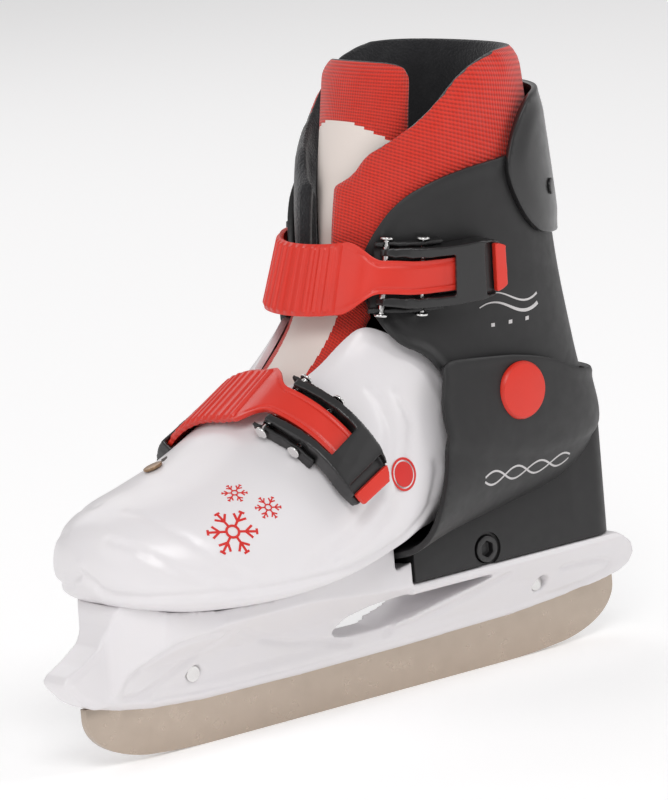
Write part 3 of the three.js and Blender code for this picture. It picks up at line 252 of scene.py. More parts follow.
WHITE_SHELL = Finish("white_moulded_shell", "white_shell", (0.80, 0.775, 0.785), Weave.GRAIN, 0.34,
                     relief=0.012, pitch=0.5, shade=(0.12, 0.12, 0.15), mottle=0.05, coat=0.15)
BLACK_SHELL = Finish("black_moulded_shell", "black_shell", (0.0125, 0.012, 0.0125), Weave.GRAIN, 0.5,
                     relief=0.03, pitch=0.35, shade=(0.004, 0.004, 0.004), mottle=0.12)
BLACK_GLOSS = Finish("black_polished_plastic", "black_shell", (0.012, 0.0115, 0.012), Weave.GRAIN,
                     0.33, relief=0.012, pitch=0.5, shade=(0.004, 0.004, 0.004), coat=0.2)
RED_PLASTIC = Finish("red_moulded_plastic", "red_plastic", (0.72, 0.028, 0.012), Weave.GRAIN, 0.4,
                     relief=0.015, pitch=0.5, mottle=0.06, coat=0.1)
RED_MESH = Finish("red_ribbed_mesh", "red_mesh", (0.74, 0.030, 0.012), Weave.RIBS, 0.8, relief=0.35,
                  pitch=1.5, mottle=0.06, sheen=0.25)
FLEECE = Finish("black_fleece", "fleece_lining", (0.012, 0.012, 0.014), Weave.FLEECE, 0.95,
                relief=0.5, pitch=0.9, shade=(0.008, 0.008, 0.009), sheen=0.35)
PANEL = Finish("white_synthetic_leather", "tongue_panel", (0.78, 0.70, 0.65), Weave.LEATHER, 0.5,
               relief=0.05, pitch=0.7, shade=(0.10, 0.08, 0.06), mottle=0.06)
STEEL = Finish("ground_runner_steel", "runner_steel", (0.50, 0.42, 0.35), Weave.GROUND, 0.34, 1.0,
               relief=0.008, pitch=0.25, mottle=0.02)
CHROME = Finish("plated_fittings", "rivet_metal", (0.78, 0.77, 0.76), Weave.PLATED, 0.16, 1.0,
                relief=0.005, pitch=0.3, mottle=0.05)
FOAM = Finish("footbed_cloth", "footbed_foam", (0.03, 0.03, 0.034), Weave.FLEECE, 0.9, relief=0.2,
              pitch=0.8, sheen=0.2)
BRONZE = Finish("bronze_rivet", "rivet_metal", (0.36, 0.24, 0.15), Weave.PLATED, 0.35, 1.0,
                relief=0.005, pitch=0.3, mottle=0.05)
# Painted shade: a dark brown that stands for the shade inside the toe slot, laid on as a flat mark.
SLOT_SHADE_PAINT = Finish("painted_slot_shade", "rivet_metal", (0.05, 0.035, 0.03), Weave.INK, 0.6, relief=0.004,
                  pitch=0.3)
RED_INK = Finish("red_print", "red_plastic", (0.70, 0.025, 0.02), Weave.INK, 0.35, relief=0.004,
                 pitch=0.3)
PALE_INK = Finish("pale_print", "white_shell", (0.62, 0.60, 0.60), Weave.INK, 0.4, relief=0.004,
                  pitch=0.3)


# ---------------------------------------------------------------- lines and outlines


def softened(points: Outline, rounds: int = 3) -> np.ndarray:
    """A closed outline with its corners rounded off.

    Args:
        points: Its corners.
        rounds: How many times each corner is cut.

    Returns:
        The rounded outline, one point a row.
    """
    line = np.array(points, float)
    for _ in range(rounds):
        ahead = np.roll(line, -1, axis=0)
        line = np.stack([0.75 * line + 0.25 * ahead, 0.25 * line + 0.75 * ahead], 1).reshape(-1, 2)
    return line


def through(points: Sequence[Sequence[float]], steps: int = 8) -> np.ndarray:
    """A smooth open curve through some points.

    Args:
        points: The points, in two or three dimensions.
        steps: Steps between two points.

    Returns:
        The points of the curve.
    """
    p = np.array(points, float)
    p = np.vstack([2 * p[0] - p[1], p, 2 * p[-1] - p[-2]])
    f = np.linspace(0, 1, steps, endpoint=False)[:, None]
    parts = [0.5 * (2 * p[i] + (p[i + 1] - p[i - 1]) * f
                    + (2 * p[i - 1] - 5 * p[i] + 4 * p[i + 1] - p[i + 2]) * f ** 2
                    + (3 * p[i] - p[i - 1] - 3 * p[i + 1] + p[i + 2]) * f ** 3)
             for i in range(1, len(p) - 2)]
    return np.vstack([*parts, p[-2][None]])


def distance_to(line: np.ndarray, points: np.ndarray, closed: bool = False) -> np.ndarray:
    """Distance of each point from a line of straight stretches.

    Args:
        line: The line's points.
        points: The points to measure from.
        closed: Whether the line's end joins its start.

    Returns:
        One distance for each point.
    """
    starts, ends = (line, np.roll(line, -1, axis=0)) if closed else (line[:-1], line[1:])
    best = np.full(len(points), np.inf)
    for start, end in zip(starts, ends):
        run = end - start
        share = np.clip((points - start) @ run / max(float(run @ run), 1e-12), 0, 1)
        best = np.minimum(best, np.linalg.norm(points - start - share[:, None] * run, axis=1))
    return best


def depth_inside(outline: np.ndarray, points: np.ndarray) -> np.ndarray:
    """How far each point lies inside a closed outline, below zero outside it.

    Args:
        outline: The outline's points.
        points: The points to measure.

    Returns:
        One depth for each point.
    """
    inside = np.zeros(len(points), bool)
    x, z = points.T
    for (x0, z0), (x1, z1) in zip(outline, np.roll(outline, -1, axis=0)):
        if z0 != z1:
            inside ^= ((z0 > z) != (z1 > z)) & (x < (x1 - x0) * (z - z0) / (z1 - z0) + x0)
    return np.where(inside, 1, -1) * distance_to(outline, points, closed=True)


def eased(value: np.ndarray, low: float, high: float) -> np.ndarray:
    """Goes smoothly from 0 at low to 1 at high."""
    share = np.clip((np.asarray(value, float) - low) / (high - low), 0, 1)
    return share * share * (3 - 2 * share)


# ---------------------------------------------------------------- boot surface


class BootSurface:
    """The outer face of the front shell, carried on round the heel and up the shaft.

    Rings fan from the toe to the top. Each has its upper and its lower point in side view, its
    half width, the height of its widest place and its squareness above and below that.
    """

    RINGS = np.array([
        (112.5, 71, 112.5, 69, 1.2, 0.5, 2.0, 2.0), (110, 79, 111, 62, 13.5, 0.42, 2.0, 2.2),
        (104, 84.5, 106, 56, 24.5, 0.36, 2.1, 2.4), (92, 88.5, 94, 51.5, 34, 0.3, 2.2, 2.5),
        (76, 92, 78, 49.2, 41, 0.26, 2.2, 2.5), (58, 98, 56, 48.4, 44.5, 0.24, 2.15, 2.6),
        (37.5, 109, 32, 49.5, 45, 0.25, 2.1, 2.6), (21, 121.5, 4, 54, 42, 0.28, 2.1, 2.6),
        (11, 133, -25, 59, 38, 0.33, 2.1, 2.5), (6, 144, -56, 62, 34.5, 0.42, 2.1, 2.4),
        (4, 152, -84, 66, 32.5, 0.47, 2.1, 2.3), (3, 159, -99.5, 76, 32, 0.5, 2.1, 2.2),
        (2, 166, -98.5, 91, 33, 0.5, 2.1, 2.1), (0.5, 174, -94.5, 107, 34.5, 0.5, 2.1, 2.1),
        (-2, 186, -90, 135, 35.5, 0.5, 2.1, 2.0), (-6, 203, -86, 172, 36, 0.5, 2.1, 2.0),
        (-10, 222, -82, 212, 36, 0.5, 2.1, 2.0), (-13, 252, -80, 246, 36, 0.5, 2.1, 2.0),
    ])

    def _row(self, t: np.ndarray) -> np.ndarray:
        """The ring data at places between the rings."""
        last = len(self.RINGS) - 1
        place = np.clip(t, 0, last)
        i = np.minimum(place.astype(int), last - 1)
        f = (place - i)[:, None]
        p1, p2 = self.RINGS[i], self.RINGS[i + 1]
        p0 = np.where((i > 0)[:, None], self.RINGS[np.maximum(i - 1, 0)], 2 * p1 - p2)
        p3 = np.where((i + 2 <= last)[:, None], self.RINGS[np.minimum(i + 2, last)], 2 * p2 - p1)
        return 0.5 * (2 * p1 + (p2 - p0) * f + (2 * p0 - 5 * p1 + 4 * p2 - p3) * f ** 2
                      + (3 * p1 - p0 - 3 * p2 + p3) * f ** 3)

    def point(self, t: np.ndarray, a: np.ndarray) -> np.ndarray:
        """Points of the surface.

        Args:
            t: Places along the rings.
            a: Angles round them, 0 at the front or top and pi at the sole or back.

        Returns:
            One point a row, in millimetres.
        """
        t, a = np.atleast_1d(t).astype(float), np.atleast_1d(a).astype(float)
        top_x, top_z, sole_x, sole_z, half, waist, upper, lower = self._row(t).T
        cosine, sine = np.cos(a), np.sin(a)
        power = 2 / np.where(cosine >= 0, upper, lower)
        reach = np.sign(cosine) * np.abs(cosine) ** power
        share = waist + reach * np.where(reach >= 0, 1 - waist, waist)
        side = np.maximum(half, 0.5) * np.sign(sine) * np.abs(sine) ** power
        return np.stack([sole_x + share * (top_x - sole_x), side,
                         sole_z + share * (top_z - sole_z)], 1)

    def normal(self, t: np.ndarray, a: np.ndarray) -> np.ndarray:
        """Outward directions of the surface at those places."""
        t, a = np.atleast_1d(t).astype(float), np.atleast_1d(a).astype(float)
        step = 2e-3
        along_t = self.point(t + step, a) - self.point(t - step, a)
        along_a = self.point(t, a + step) - self.point(t, a - step)
        cross = np.cross(along_a, along_t)
        return cross / np.maximum(np.linalg.norm(cross, axis=1, keepdims=True), 1e-12)

    def layer(self, t: np.ndarray, a: np.ndarray, out: np.ndarray) -> np.ndarray:
        """Points at a distance out from the surface."""
        return self.point(t, a) + self.normal(t, a) * np.reshape(out, (-1, 1))

    def place_at_height(self, z: float, a: float) -> float:
        """The place along the rings whose point at angle a stands at height z."""
        low, high = 5.0, len(self.RINGS) - 1.0
        for _ in range(30):
            middle = (low + high) / 2
            if self.point(middle, a)[0, 2] < z:
                low = middle
            else:
                high = middle
        return (low + high) / 2

    def snapped(self, line: np.ndarray) -> np.ndarray:
        """A line in space, moved to the nearest points of the outer side's surface."""
        t, a = np.meshgrid(np.linspace(0.2, 16, 240), np.radians(np.linspace(0, 180, 200)))
        skin = self.point(t.ravel(), a.ravel())
        away = np.linalg.norm(line[:, None, :] - skin[None, :, :], axis=2)
        return skin[np.argmin(away, axis=1)]

    def nearest(self, targets: np.ndarray, t: float, a: float) -> tuple[np.ndarray, np.ndarray]:
        """The places of the surface nearest to some points.

        Args:
            targets: The points, one a row, in millimetres.
            t: Where the search starts along the rings.
            a: Where it starts round them.

        Returns:
            The places along the rings and the angles.
        """
        count, step = len(targets), 1e-3
        ts, angles = np.full(count, float(t)), np.full(count, float(a))
        for _ in range(12):
            here = self.point(ts, angles)
            by_t = (self.point(ts + step, angles) - here) / step
            by_a = (self.point(ts, angles + step) - here) / step
            gap = targets - here
            tt, aa, ta = (by_t ** 2).sum(1), (by_a ** 2).sum(1), (by_t * by_a).sum(1)
            gt, ga = (by_t * gap).sum(1), (by_a * gap).sum(1)
            whole = np.maximum(tt * aa - ta ** 2, 1e-9)
            ts = ts + np.clip((gt * aa - ga * ta) / whole, -1, 1)
            angles = angles + np.clip((ga * tt - gt * ta) / whole, -0.4, 0.4)
        return ts, angles


BOOT = BootSurface()


# ---------------------------------------------------------------- bench tools


def alone(obj: bpy.types.Object) -> None:
    """Leaves only this object selected and active."""
    bpy.ops.object.select_all(action="DESELECT")
    obj.select_set(True)
    bpy.context.view_layer.objects.active = obj


def apply_modifier(obj: bpy.types.Object, kind: str, **settings) -> None:
    """Adds a modifier and applies it at once.

    Args:
        obj: The piece.
        kind: Blender's name for the modifier.
        settings: Its settings.
    """
    modifier = obj.modifiers.new(kind.lower(), kind)
    for name, value in settings.items():
        setattr(modifier, name, value)
    alone(obj)
    bpy.ops.object.modifier_apply(modifier=modifier.name)


def smooth(obj: bpy.types.Object, angle: float = 35) -> None:
    """Shades a piece smooth, except over edges sharper than angle, in degrees."""
    alone(obj)
    bpy.ops.object.shade_smooth_by_angle(angle=math.radians(angle))


def settle(obj: bpy.types.Object, name: str) -> bpy.types.Object:
    """Names a piece and puts its place into its mesh."""
    obj.name = name
    obj.data.name = name
    alone(obj)
    bpy.ops.object.transform_apply(location=True, rotation=True, scale=True)
    return obj


def grid(name: str, columns: int, rows: int) -> tuple[bpy.types.Object, np.ndarray, np.ndarray]:
    """A flat grid, ready to be laid on a surface.

    Args:
        name: The piece's name.
        columns: Cells one way.
        rows: Cells the other way.

    Returns:
        The object and the two shares, from 0 to 1, of each of its points.
    """
    bpy.ops.object.select_all(action="DESELECT")
    bpy.ops.mesh.primitive_grid_add(x_subdivisions=columns, y_subdivisions=rows, size=1)
    obj = bpy.context.object
    obj.name = obj.data.name = name
    co = np.empty(3 * len(obj.data.vertices))
    obj.data.vertices.foreach_get("co", co)
    co = co.reshape(-1, 3)
    return obj, co[:, 0] + 0.5, co[:, 1] + 0.5


def from_points(name: str, points: np.ndarray, faces: Sequence[Sequence[int]]) -> bpy.types.Object:
    """Makes an object from points in millimetres and the faces between them."""
    data = bpy.data.meshes.new(name)
    data.from_pydata((np.asarray(points, float) * MM).tolist(), [], faces)
    obj = bpy.data.objects.new(name, data)
    bpy.context.scene.collection.objects.link(obj)
    return obj


def lay(obj: bpy.types.Object, points: np.ndarray) -> None:
    """Moves every point of a mesh to its place, given in millimetres."""
    obj.data.vertices.foreach_set("co", (points * MM).ravel())
    obj.data.update()


def read_points(obj: bpy.types.Object) -> np.ndarray:
    """The points of a mesh, in millimetres."""
    co = np.empty(3 * len(obj.data.vertices))
    obj.data.vertices.foreach_get("co", co)
    return co.reshape(-1, 3) / MM


def read_normals(obj: bpy.types.Object) -> np.ndarray:
    """The outward directions at the points of a mesh."""
    normals = np.empty(3 * len(obj.data.vertices))
    obj.data.vertex_normals.foreach_get("vector", normals)
    return normals.reshape(-1, 3)


def write_map(obj: bpy.types.Object, u: np.ndarray, v: np.ndarray) -> None:
    """Gives a mesh its own map in millimetres, from one pair of values a point."""
    layer = obj.data.uv_layers.get("mm") or obj.data.uv_layers.new(name="mm")
    corners = np.empty(len(obj.data.loops), int)
    obj.data.loops.foreach_get("vertex_index", corners)
    layer.data.foreach_set("uv", np.stack([u[corners], v[corners]], 1).astype(np.float32).ravel())
    obj.data.uv_layers.active = layer
    layer.active_render = True


def dress(obj: bpy.types.Object, *finishes: Finish) -> None:
    """Gives a piece its finishes, in the order of its material slots."""
    for i, finish in enumerate(finishes):
        if i < len(obj.data.materials):
            obj.data.materials[i] = finish.material()
        else:
            obj.data.materials.append(finish.material())


def deliver(obj: bpy.types.Object, body: str, *nodes: str) -> bpy.types.Object:
    """Puts a finished piece on its body, in place of its CAD nodes, and reports it.

    Args:
        obj: The piece.
        body: The body it rides on.
        nodes: CAD nodes that it stands for.

    Returns:
        The same piece.
    """
    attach(obj, body)
    if nodes:
        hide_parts(*nodes)
    LOG.info("%s: %d faces, rides on %s", obj.name, len(obj.data.polygons), body)
    return obj


def moulded_copy(name: str, node: str, voxel: float, rounds: int,
                 relief: Optional[Callable[[np.ndarray], np.ndarray]] = None) -> bpy.types.Object:
    """A softer, finely meshed copy of a CAD node, with the rounded edges of a moulding.

    Args:
        name: The new piece's name.
        node: The CAD node.
        voxel: Size of its cells, in millimetres.
        rounds: How many times its edges are eased.
        relief: Gives how far each point moves out, in millimetres.

    Returns:
        The new piece.
    """
    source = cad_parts[node]
    obj = bpy.data.objects.new(name, source.data.copy())
    obj.data.name = name
    bpy.context.scene.collection.objects.link(obj)
    alone(obj)
    bpy.ops.object.mode_set(mode="EDIT")
    bpy.ops.mesh.select_all(action="SELECT")
    bpy.ops.mesh.remove_doubles(threshold=1e-6)
    bpy.ops.object.mode_set(mode="OBJECT")
    apply_modifier(obj, "REMESH", mode="VOXEL", voxel_size=voxel * MM, adaptivity=0.0)
    apply_modifier(obj, "SMOOTH", factor=0.5, iterations=rounds)
    if relief:
        points = read_points(obj)
        lay(obj, points + read_normals(obj) * relief(points)[:, None])
    alone(obj)
    bpy.ops.object.shade_smooth()
    return obj


@dataclass
class BootSheet:
    """A wall that follows the boot surface, cut to an outline in side view."""

    name: str
    outline: Outline
    out: float
    wall: float
    places: tuple[float, float]
    angles: tuple[float, float]
    rows: int
    columns: int
    relief: Optional[Callable[[np.ndarray, np.ndarray], np.ndarray]] = None
    edge: float = 0.45
    rim: float = 1.0
    rim_width: float = 4.0
    closed: bool = False
    half: float = 200.0
    gap: float = -1.0

    def build(self) -> bpy.types.Object:
        """Lays a grid on the surface, trims it and gives it its wall.

        Returns:
            The piece, not yet dressed.
        """
        obj, u, v = grid(self.name, self.columns, self.rows)
        a = np.radians(self.angles[0] + (self.angles[1] - self.angles[0]) * u)
        t = self.places[0] + (self.places[1] - self.places[0]) * v
        line = softened(self.outline)
        t, a, depth = self._snapped(obj, t, a, line)
        base = BOOT.point(t, a)
        out = np.full(len(t), self.out)
        if self.relief:
            outer_side = BOOT.point(t, np.abs(a))
            out = out + self.relief(outer_side, np.maximum(depth, 0))
        lay(obj, base + BOOT.normal(t, a) * out[:, None])
        write_map(obj, a * 36, self._run(t, a))
        share = self.rim + (1 - self.rim) * np.sqrt(np.clip(depth / self.rim_width, 0, 1))
        group = obj.vertex_groups.new(name="wall")
        for i, w in enumerate(share):
            group.add([i], float(w), "REPLACE")
        self._trim(obj, depth)
        settings = {"thickness": self.wall * MM, "offset": -1, "material_offset": 1,
                    "material_offset_rim": 1 if self.rim < 1 else 0, "use_even_offset": self.rim == 1}
        if self.rim < 1:
            settings |= {"vertex_group": "wall", "thickness_vertex_group": 0.0}
        obj.data.materials.append(None)
        obj.data.materials.append(None)
        apply_modifier(obj, "SOLIDIFY", **settings)
        if self.edge:
            apply_modifier(obj, "BEVEL", width=self.edge * MM, segments=2, limit_method="ANGLE",
                           angle_limit=math.radians(50), use_clamp_overlap=True)
        smooth(obj)
        return obj

    @staticmethod
    def _run(t: np.ndarray, a: np.ndarray) -> np.ndarray:
        """Length along the rings at each place, roughly, in millimetres."""
        places = np.linspace(0, 17, 171)
        side = np.radians(80)
        points = BOOT.point(places, np.full_like(places, side))
        run = np.concatenate([[0], np.cumsum(np.linalg.norm(np.diff(points, axis=0), axis=1))])
        return np.interp(t, places, run)

    def _snapped(self, obj: bpy.types.Object, t: np.ndarray, a: np.ndarray,
                 line: np.ndarray) -> tuple[np.ndarray, np.ndarray, np.ndarray]:
        """Moves the points nearest to the outline onto it.

        Args:
            obj: The grid.
            t: Place of each point along the rings.
            a: Angle of each point.
            line: The outline.

        Returns:
            The places, the angles and the depths inside the outline.
        """
        points = BOOT.layer(t, a, np.full(len(t), self.out))
        side = np.abs(points[:, 1])
        depth = np.minimum(depth_inside(line, points[:, [0, 2]]), self.half - side)
        if self.gap > 0:
            depth = np.minimum(depth, np.where(points[:, 0] > -30, side - self.gap, 99.0))
        ends = np.empty(2 * len(obj.data.edges), int)
        obj.data.edges.foreach_get("vertices", ends)
        ends = ends.reshape(-1, 2)
        first, second = depth[ends[:, 0]], depth[ends[:, 1]]
        best: dict[int, tuple[float, float, float]] = {}
        for (i, j), d0, d1 in zip(ends[first * second < 0], first[first * second < 0],
                                  second[first * second < 0]):
            share = d0 / (d0 - d1)
            mine, move = (i, share) if share < 0.5 else (j, 1 - share)
            if mine not in best or move < best[mine][0]:
                best[mine] = (move, t[i] + share * (t[j] - t[i]), a[i] + share * (a[j] - a[i]))
        for i, (_, new_t, new_a) in best.items():
            t[i], a[i], depth[i] = new_t, new_a, 0.0
        return t, a, depth

    def _trim(self, obj: bpy.types.Object, depth: np.ndarray) -> None:
        """Deletes what lies outside the outline, and closes the seam and the toe.

        Args:
            obj: The laid grid.
            depth: How far each point lies inside.
        """
        mesh = bmesh.new()
        mesh.from_mesh(obj.data)
        mesh.verts.ensure_lookup_table()
        doomed = []
        for face in list(mesh.faces):
            values = [depth[vert.index] for vert in face.verts]
            if max(values) <= 0:
                doomed.append(face)
            elif min(values) < 0:
                corners = [vert for vert in face.verts if depth[vert.index] == 0]
                if len(corners) == 2:
                    part, _ = bmesh.utils.face_split(face, *corners)
                    doomed += [f for f in (face, part) if min(depth[v.index] for v in f.verts) < 0]
        bmesh.ops.delete(mesh, geom=doomed, context="FACES")
        if self.closed:
            bmesh.ops.remove_doubles(mesh, verts=mesh.verts, dist=0.02 * MM)
            tip = [e for e in mesh.edges if e.is_boundary and min(v.co.x for v in e.verts) > 0.109]
            bmesh.ops.holes_fill(mesh, edges=tip, sides=0)
        bmesh.ops.recalc_face_normals(mesh, faces=mesh.faces)
        mesh.to_mesh(obj.data)
        mesh.free()
        middle = read_points(obj).mean(axis=0)
        normals, points = read_normals(obj), read_points(obj)
        if float(((points - middle) * normals).sum()) < 0:
            obj.data.flip_normals()


def puffed(obj: bpy.types.Object, reach: float, pressure: float, name: str = "held") -> None:
    """Blows a padded piece up a little between its seams with cloth simulation.

    Args:
        obj: The closed pad.
        reach: The most that a point may move, in millimetres.
        pressure: Pressure inside it.
        name: Vertex group of the sewn lines that stay put, if the pad has one.
    """
    rest = read_points(obj)
    modifier = obj.modifiers.new("filling", "CLOTH")
    modifier.settings.use_pressure = True
    modifier.settings.uniform_pressure_force = pressure
    modifier.settings.effector_weights.gravity = 0
    modifier.settings.quality = 4
    if name in obj.vertex_groups:
        modifier.settings.vertex_group_mass = name
    scene = bpy.context.scene
    for number in range(1, 16):
        scene.frame_set(number)
    swollen = obj.evaluated_get(bpy.context.evaluated_depsgraph_get())
    moved = np.empty(3 * len(swollen.data.vertices))
    swollen.data.vertices.foreach_get("co", moved)
    move = moved.reshape(-1, 3) / MM - rest
    length = np.linalg.norm(move, axis=1, keepdims=True)
    obj.modifiers.remove(modifier)
    scene.frame_set(1)
    lay(obj, rest + move * np.minimum(1, reach / np.maximum(length, 1e-9)))


# ---------------------------------------------------------------- turned pieces


@dataclass
class TurnedPiece:
    """A round piece that follows the steps of its CAD node, turned smooth."""

    node: str
    finish: Finish
    edge: float = 0.25
    sides: int = 48

    def build(self, body: str) -> bpy.types.Object:
        """Turns the node's profile about its own axis.

        Args:
            body: The body it rides on.

        Returns:
            The finished piece.
        """
        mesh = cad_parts[self.node].data
        co = np.array([v.co for v in mesh.vertices]) / MM
        centre, axis = self._axis(co)
        s = (co - centre) @ axis
        r = np.linalg.norm((co - centre) - s[:, None] * axis, axis=1)
        profile = self._profile(s, r)
        points = [(x, 0.0, z) for z, x in profile]
        data = bpy.data.meshes.new(self.node)
        data.from_pydata([tuple(c * MM for c in p) for p in points],
                         [(i, i + 1) for i in range(len(points) - 1)], [])
        obj = bpy.data.objects.new(self.node + "_turned", data)
        bpy.context.scene.collection.objects.link(obj)
        apply_modifier(obj, "SCREW", angle=2 * math.pi, steps=self.sides, render_steps=self.sides,
                       use_merge_vertices=True, merge_threshold=1e-6, axis="Z")
        alone(obj)
        bpy.ops.object.mode_set(mode="EDIT")
        bpy.ops.mesh.select_all(action="SELECT")
        bpy.ops.mesh.remove_doubles(threshold=1e-6)
        bpy.ops.mesh.normals_make_consistent(inside=False)
        bpy.ops.object.mode_set(mode="OBJECT")
        apply_modifier(obj, "BEVEL", width=self.edge * MM, segments=3, limit_method="ANGLE",
                       angle_limit=math.radians(40))
        turn = Vector((0, 0, 1)).rotation_difference(Vector(axis)).to_matrix().to_4x4()
        obj.data.transform(Matrix.Translation(Vector(centre * MM)) @ turn)
        settle(obj, self.node + "_turned")
        smooth(obj, 30)
        dress(obj, self.finish)
        return deliver(obj, body, self.node)

    @staticmethod
    def _axis(co: np.ndarray) -> tuple[np.ndarray, np.ndarray]:
        """Centre and axis of a round piece, from its points."""
        centre = co.mean(axis=0)
        values, vectors = np.linalg.eigh(np.cov((co - centre).T))
        gaps = np.diff(values)
        axis = vectors[:, 2] if gaps[1] > gaps[0] else vectors[:, 0]
        return centre, axis

    @staticmethod
    def _profile(s: np.ndarray, r: np.ndarray) -> list[tuple[float, float]]:
        """The steps of the piece, as pairs of place along the axis and radius."""
        order = np.argsort(s)
        profile: list[tuple[float, float]] = []
        i = 0
        while i < len(order):
            here = [order[i]]
            while i + len(here) < len(order) and s[order[i + len(here)]] - s[here[0]] < 0.06:
                here.append(order[i + len(here)])
            radii = sorted({round(float(r[k]), 1) for k in here if r[k] > 0.15})
            place = float(np.mean(s[here]))
            if radii:
                low, high = radii[0], radii[-1]
                if high - low < 0.25:
                    low = high
                if not profile:
                    profile += [(place, 0.0), (place, high)]
                elif abs(profile[-1][1] - high) <= abs(profile[-1][1] - low):
                    profile += [(place, high)] + ([(place, low)] if low < high else [])
                else:
                    profile += [(place, low), (place, high)]
            i += len(here)
        return [*profile, (profile[-1][0], 0.0)]


# ---------------------------------------------------------------- printing


class Print:
    """Flat marks on a layer of the boot, printed ones and one of painted shade, each drawn as strokes
    round a centre.
    """

    def __init__(self, name: str, centre: Sequence[float], out: float,
                 start: tuple[float, float]) -> None:
        """Finds the centre and the drawing directions on the surface.

        Args:
            name: Name of the printed piece.
            centre: Its middle, in millimetres.
            out: Height of the printed face above the boot surface.
            start: A place and an angle in degrees near the centre.
        """
        self.name, self.out = name, out
        t, a = BOOT.nearest(np.array([centre], float), start[0], math.radians(start[1]))
        self.place = (float(t[0]), float(a[0]))
        self.centre = BOOT.point(t, a)[0]
        normal = BOOT.normal(t, a)[0]
        self.right = np.cross(normal, (0, 0, 1.0))
        self.right /= np.linalg.norm(self.right)
        self.up = np.cross(self.right, normal)
        self.points: list[np.ndarray] = []
        self.faces: list[tuple[int, ...]] = []
        self.count = 0

    def _add(self, flat: np.ndarray, faces: Sequence[tuple[int, ...]]) -> None:
        """Adds drawn points and the faces between them."""
        self.points.append(flat)
        self.faces += [tuple(i + self.count for i in face) for face in faces]
        self.count += len(flat)

    def stroke(self, points: Outline, width: float, taper: float = 1.0) -> "Print":
        """Draws a line.

        Args:
            points: Its points, right and up from the centre.
            width: Its width.
            taper: Width of its end, as a share of width.

        Returns:
            The print, for the next stroke.
        """
        line = np.array(points, float)
        steps = np.maximum(1, (np.linalg.norm(np.diff(line, axis=0), axis=1) / 0.9).astype(int))
        shares = [np.linspace(0, 1, n, endpoint=False)[:, None] for n in steps]
        dense = np.vstack([line[i] + (line[i + 1] - line[i]) * share
                           for i, share in enumerate(shares)] + [line[-1:]])
        run = np.gradient(dense, axis=0)
        side = np.stack([-run[:, 1], run[:, 0]], 1)
        side /= np.maximum(np.linalg.norm(side, axis=1, keepdims=True), 1e-9)
        half = width / 2 * np.linspace(1, taper, len(dense))[:, None]
        n = len(dense)
        self._add(np.vstack([dense - side * half, dense + side * half]),
                  [(i, i + 1, n + i + 1, n + i) for i in range(n - 1)])
        return self

    def ring(self, inner: float, outer: float, turns: int = 40,
             at: tuple[float, float] = (0.0, 0.0)) -> "Print":
        """Draws a ring, or a disc where inner is 0."""
        radii = np.linspace(inner, outer, max(2, int((outer - inner) / 1.0) + 2))
        angle = np.linspace(0, 2 * np.pi, turns, endpoint=False)
        flat = np.vstack([np.stack([at[0] + r * np.cos(angle), at[1] + r * np.sin(angle)], 1)
                          for r in np.maximum(radii, 0.02)])
        self._add(flat, [(k * turns + i, k * turns + (i + 1) % turns, (k + 1) * turns + (i + 1) % turns,
                          (k + 1) * turns + i) for k in range(len(radii) - 1) for i in range(turns)])
        return self

    def build(self, finish: Finish, body: str) -> bpy.types.Object:
        """Lays the drawing on the boot and delivers it."""
        flat = np.vstack(self.points)
        targets = self.centre + flat[:, :1] * self.right + flat[:, 1:] * self.up
        t, a = BOOT.nearest(targets, *self.place)
        points = BOOT.layer(t, a, np.full(len(t), self.out))
        obj = from_points(self.name, points, self.faces)
        outward = np.array([p.normal for p in obj.data.polygons])
        middle = BOOT.normal([self.place[0]], [self.place[1]])[0]
        if float((outward @ middle).sum()) < 0:
            obj.data.flip_normals()
        apply_modifier(obj, "SOLIDIFY", thickness=0.12 * MM, offset=-1)
        dress(obj, finish)
        return deliver(obj, body)


# ---------------------------------------------------------------- blade and holder


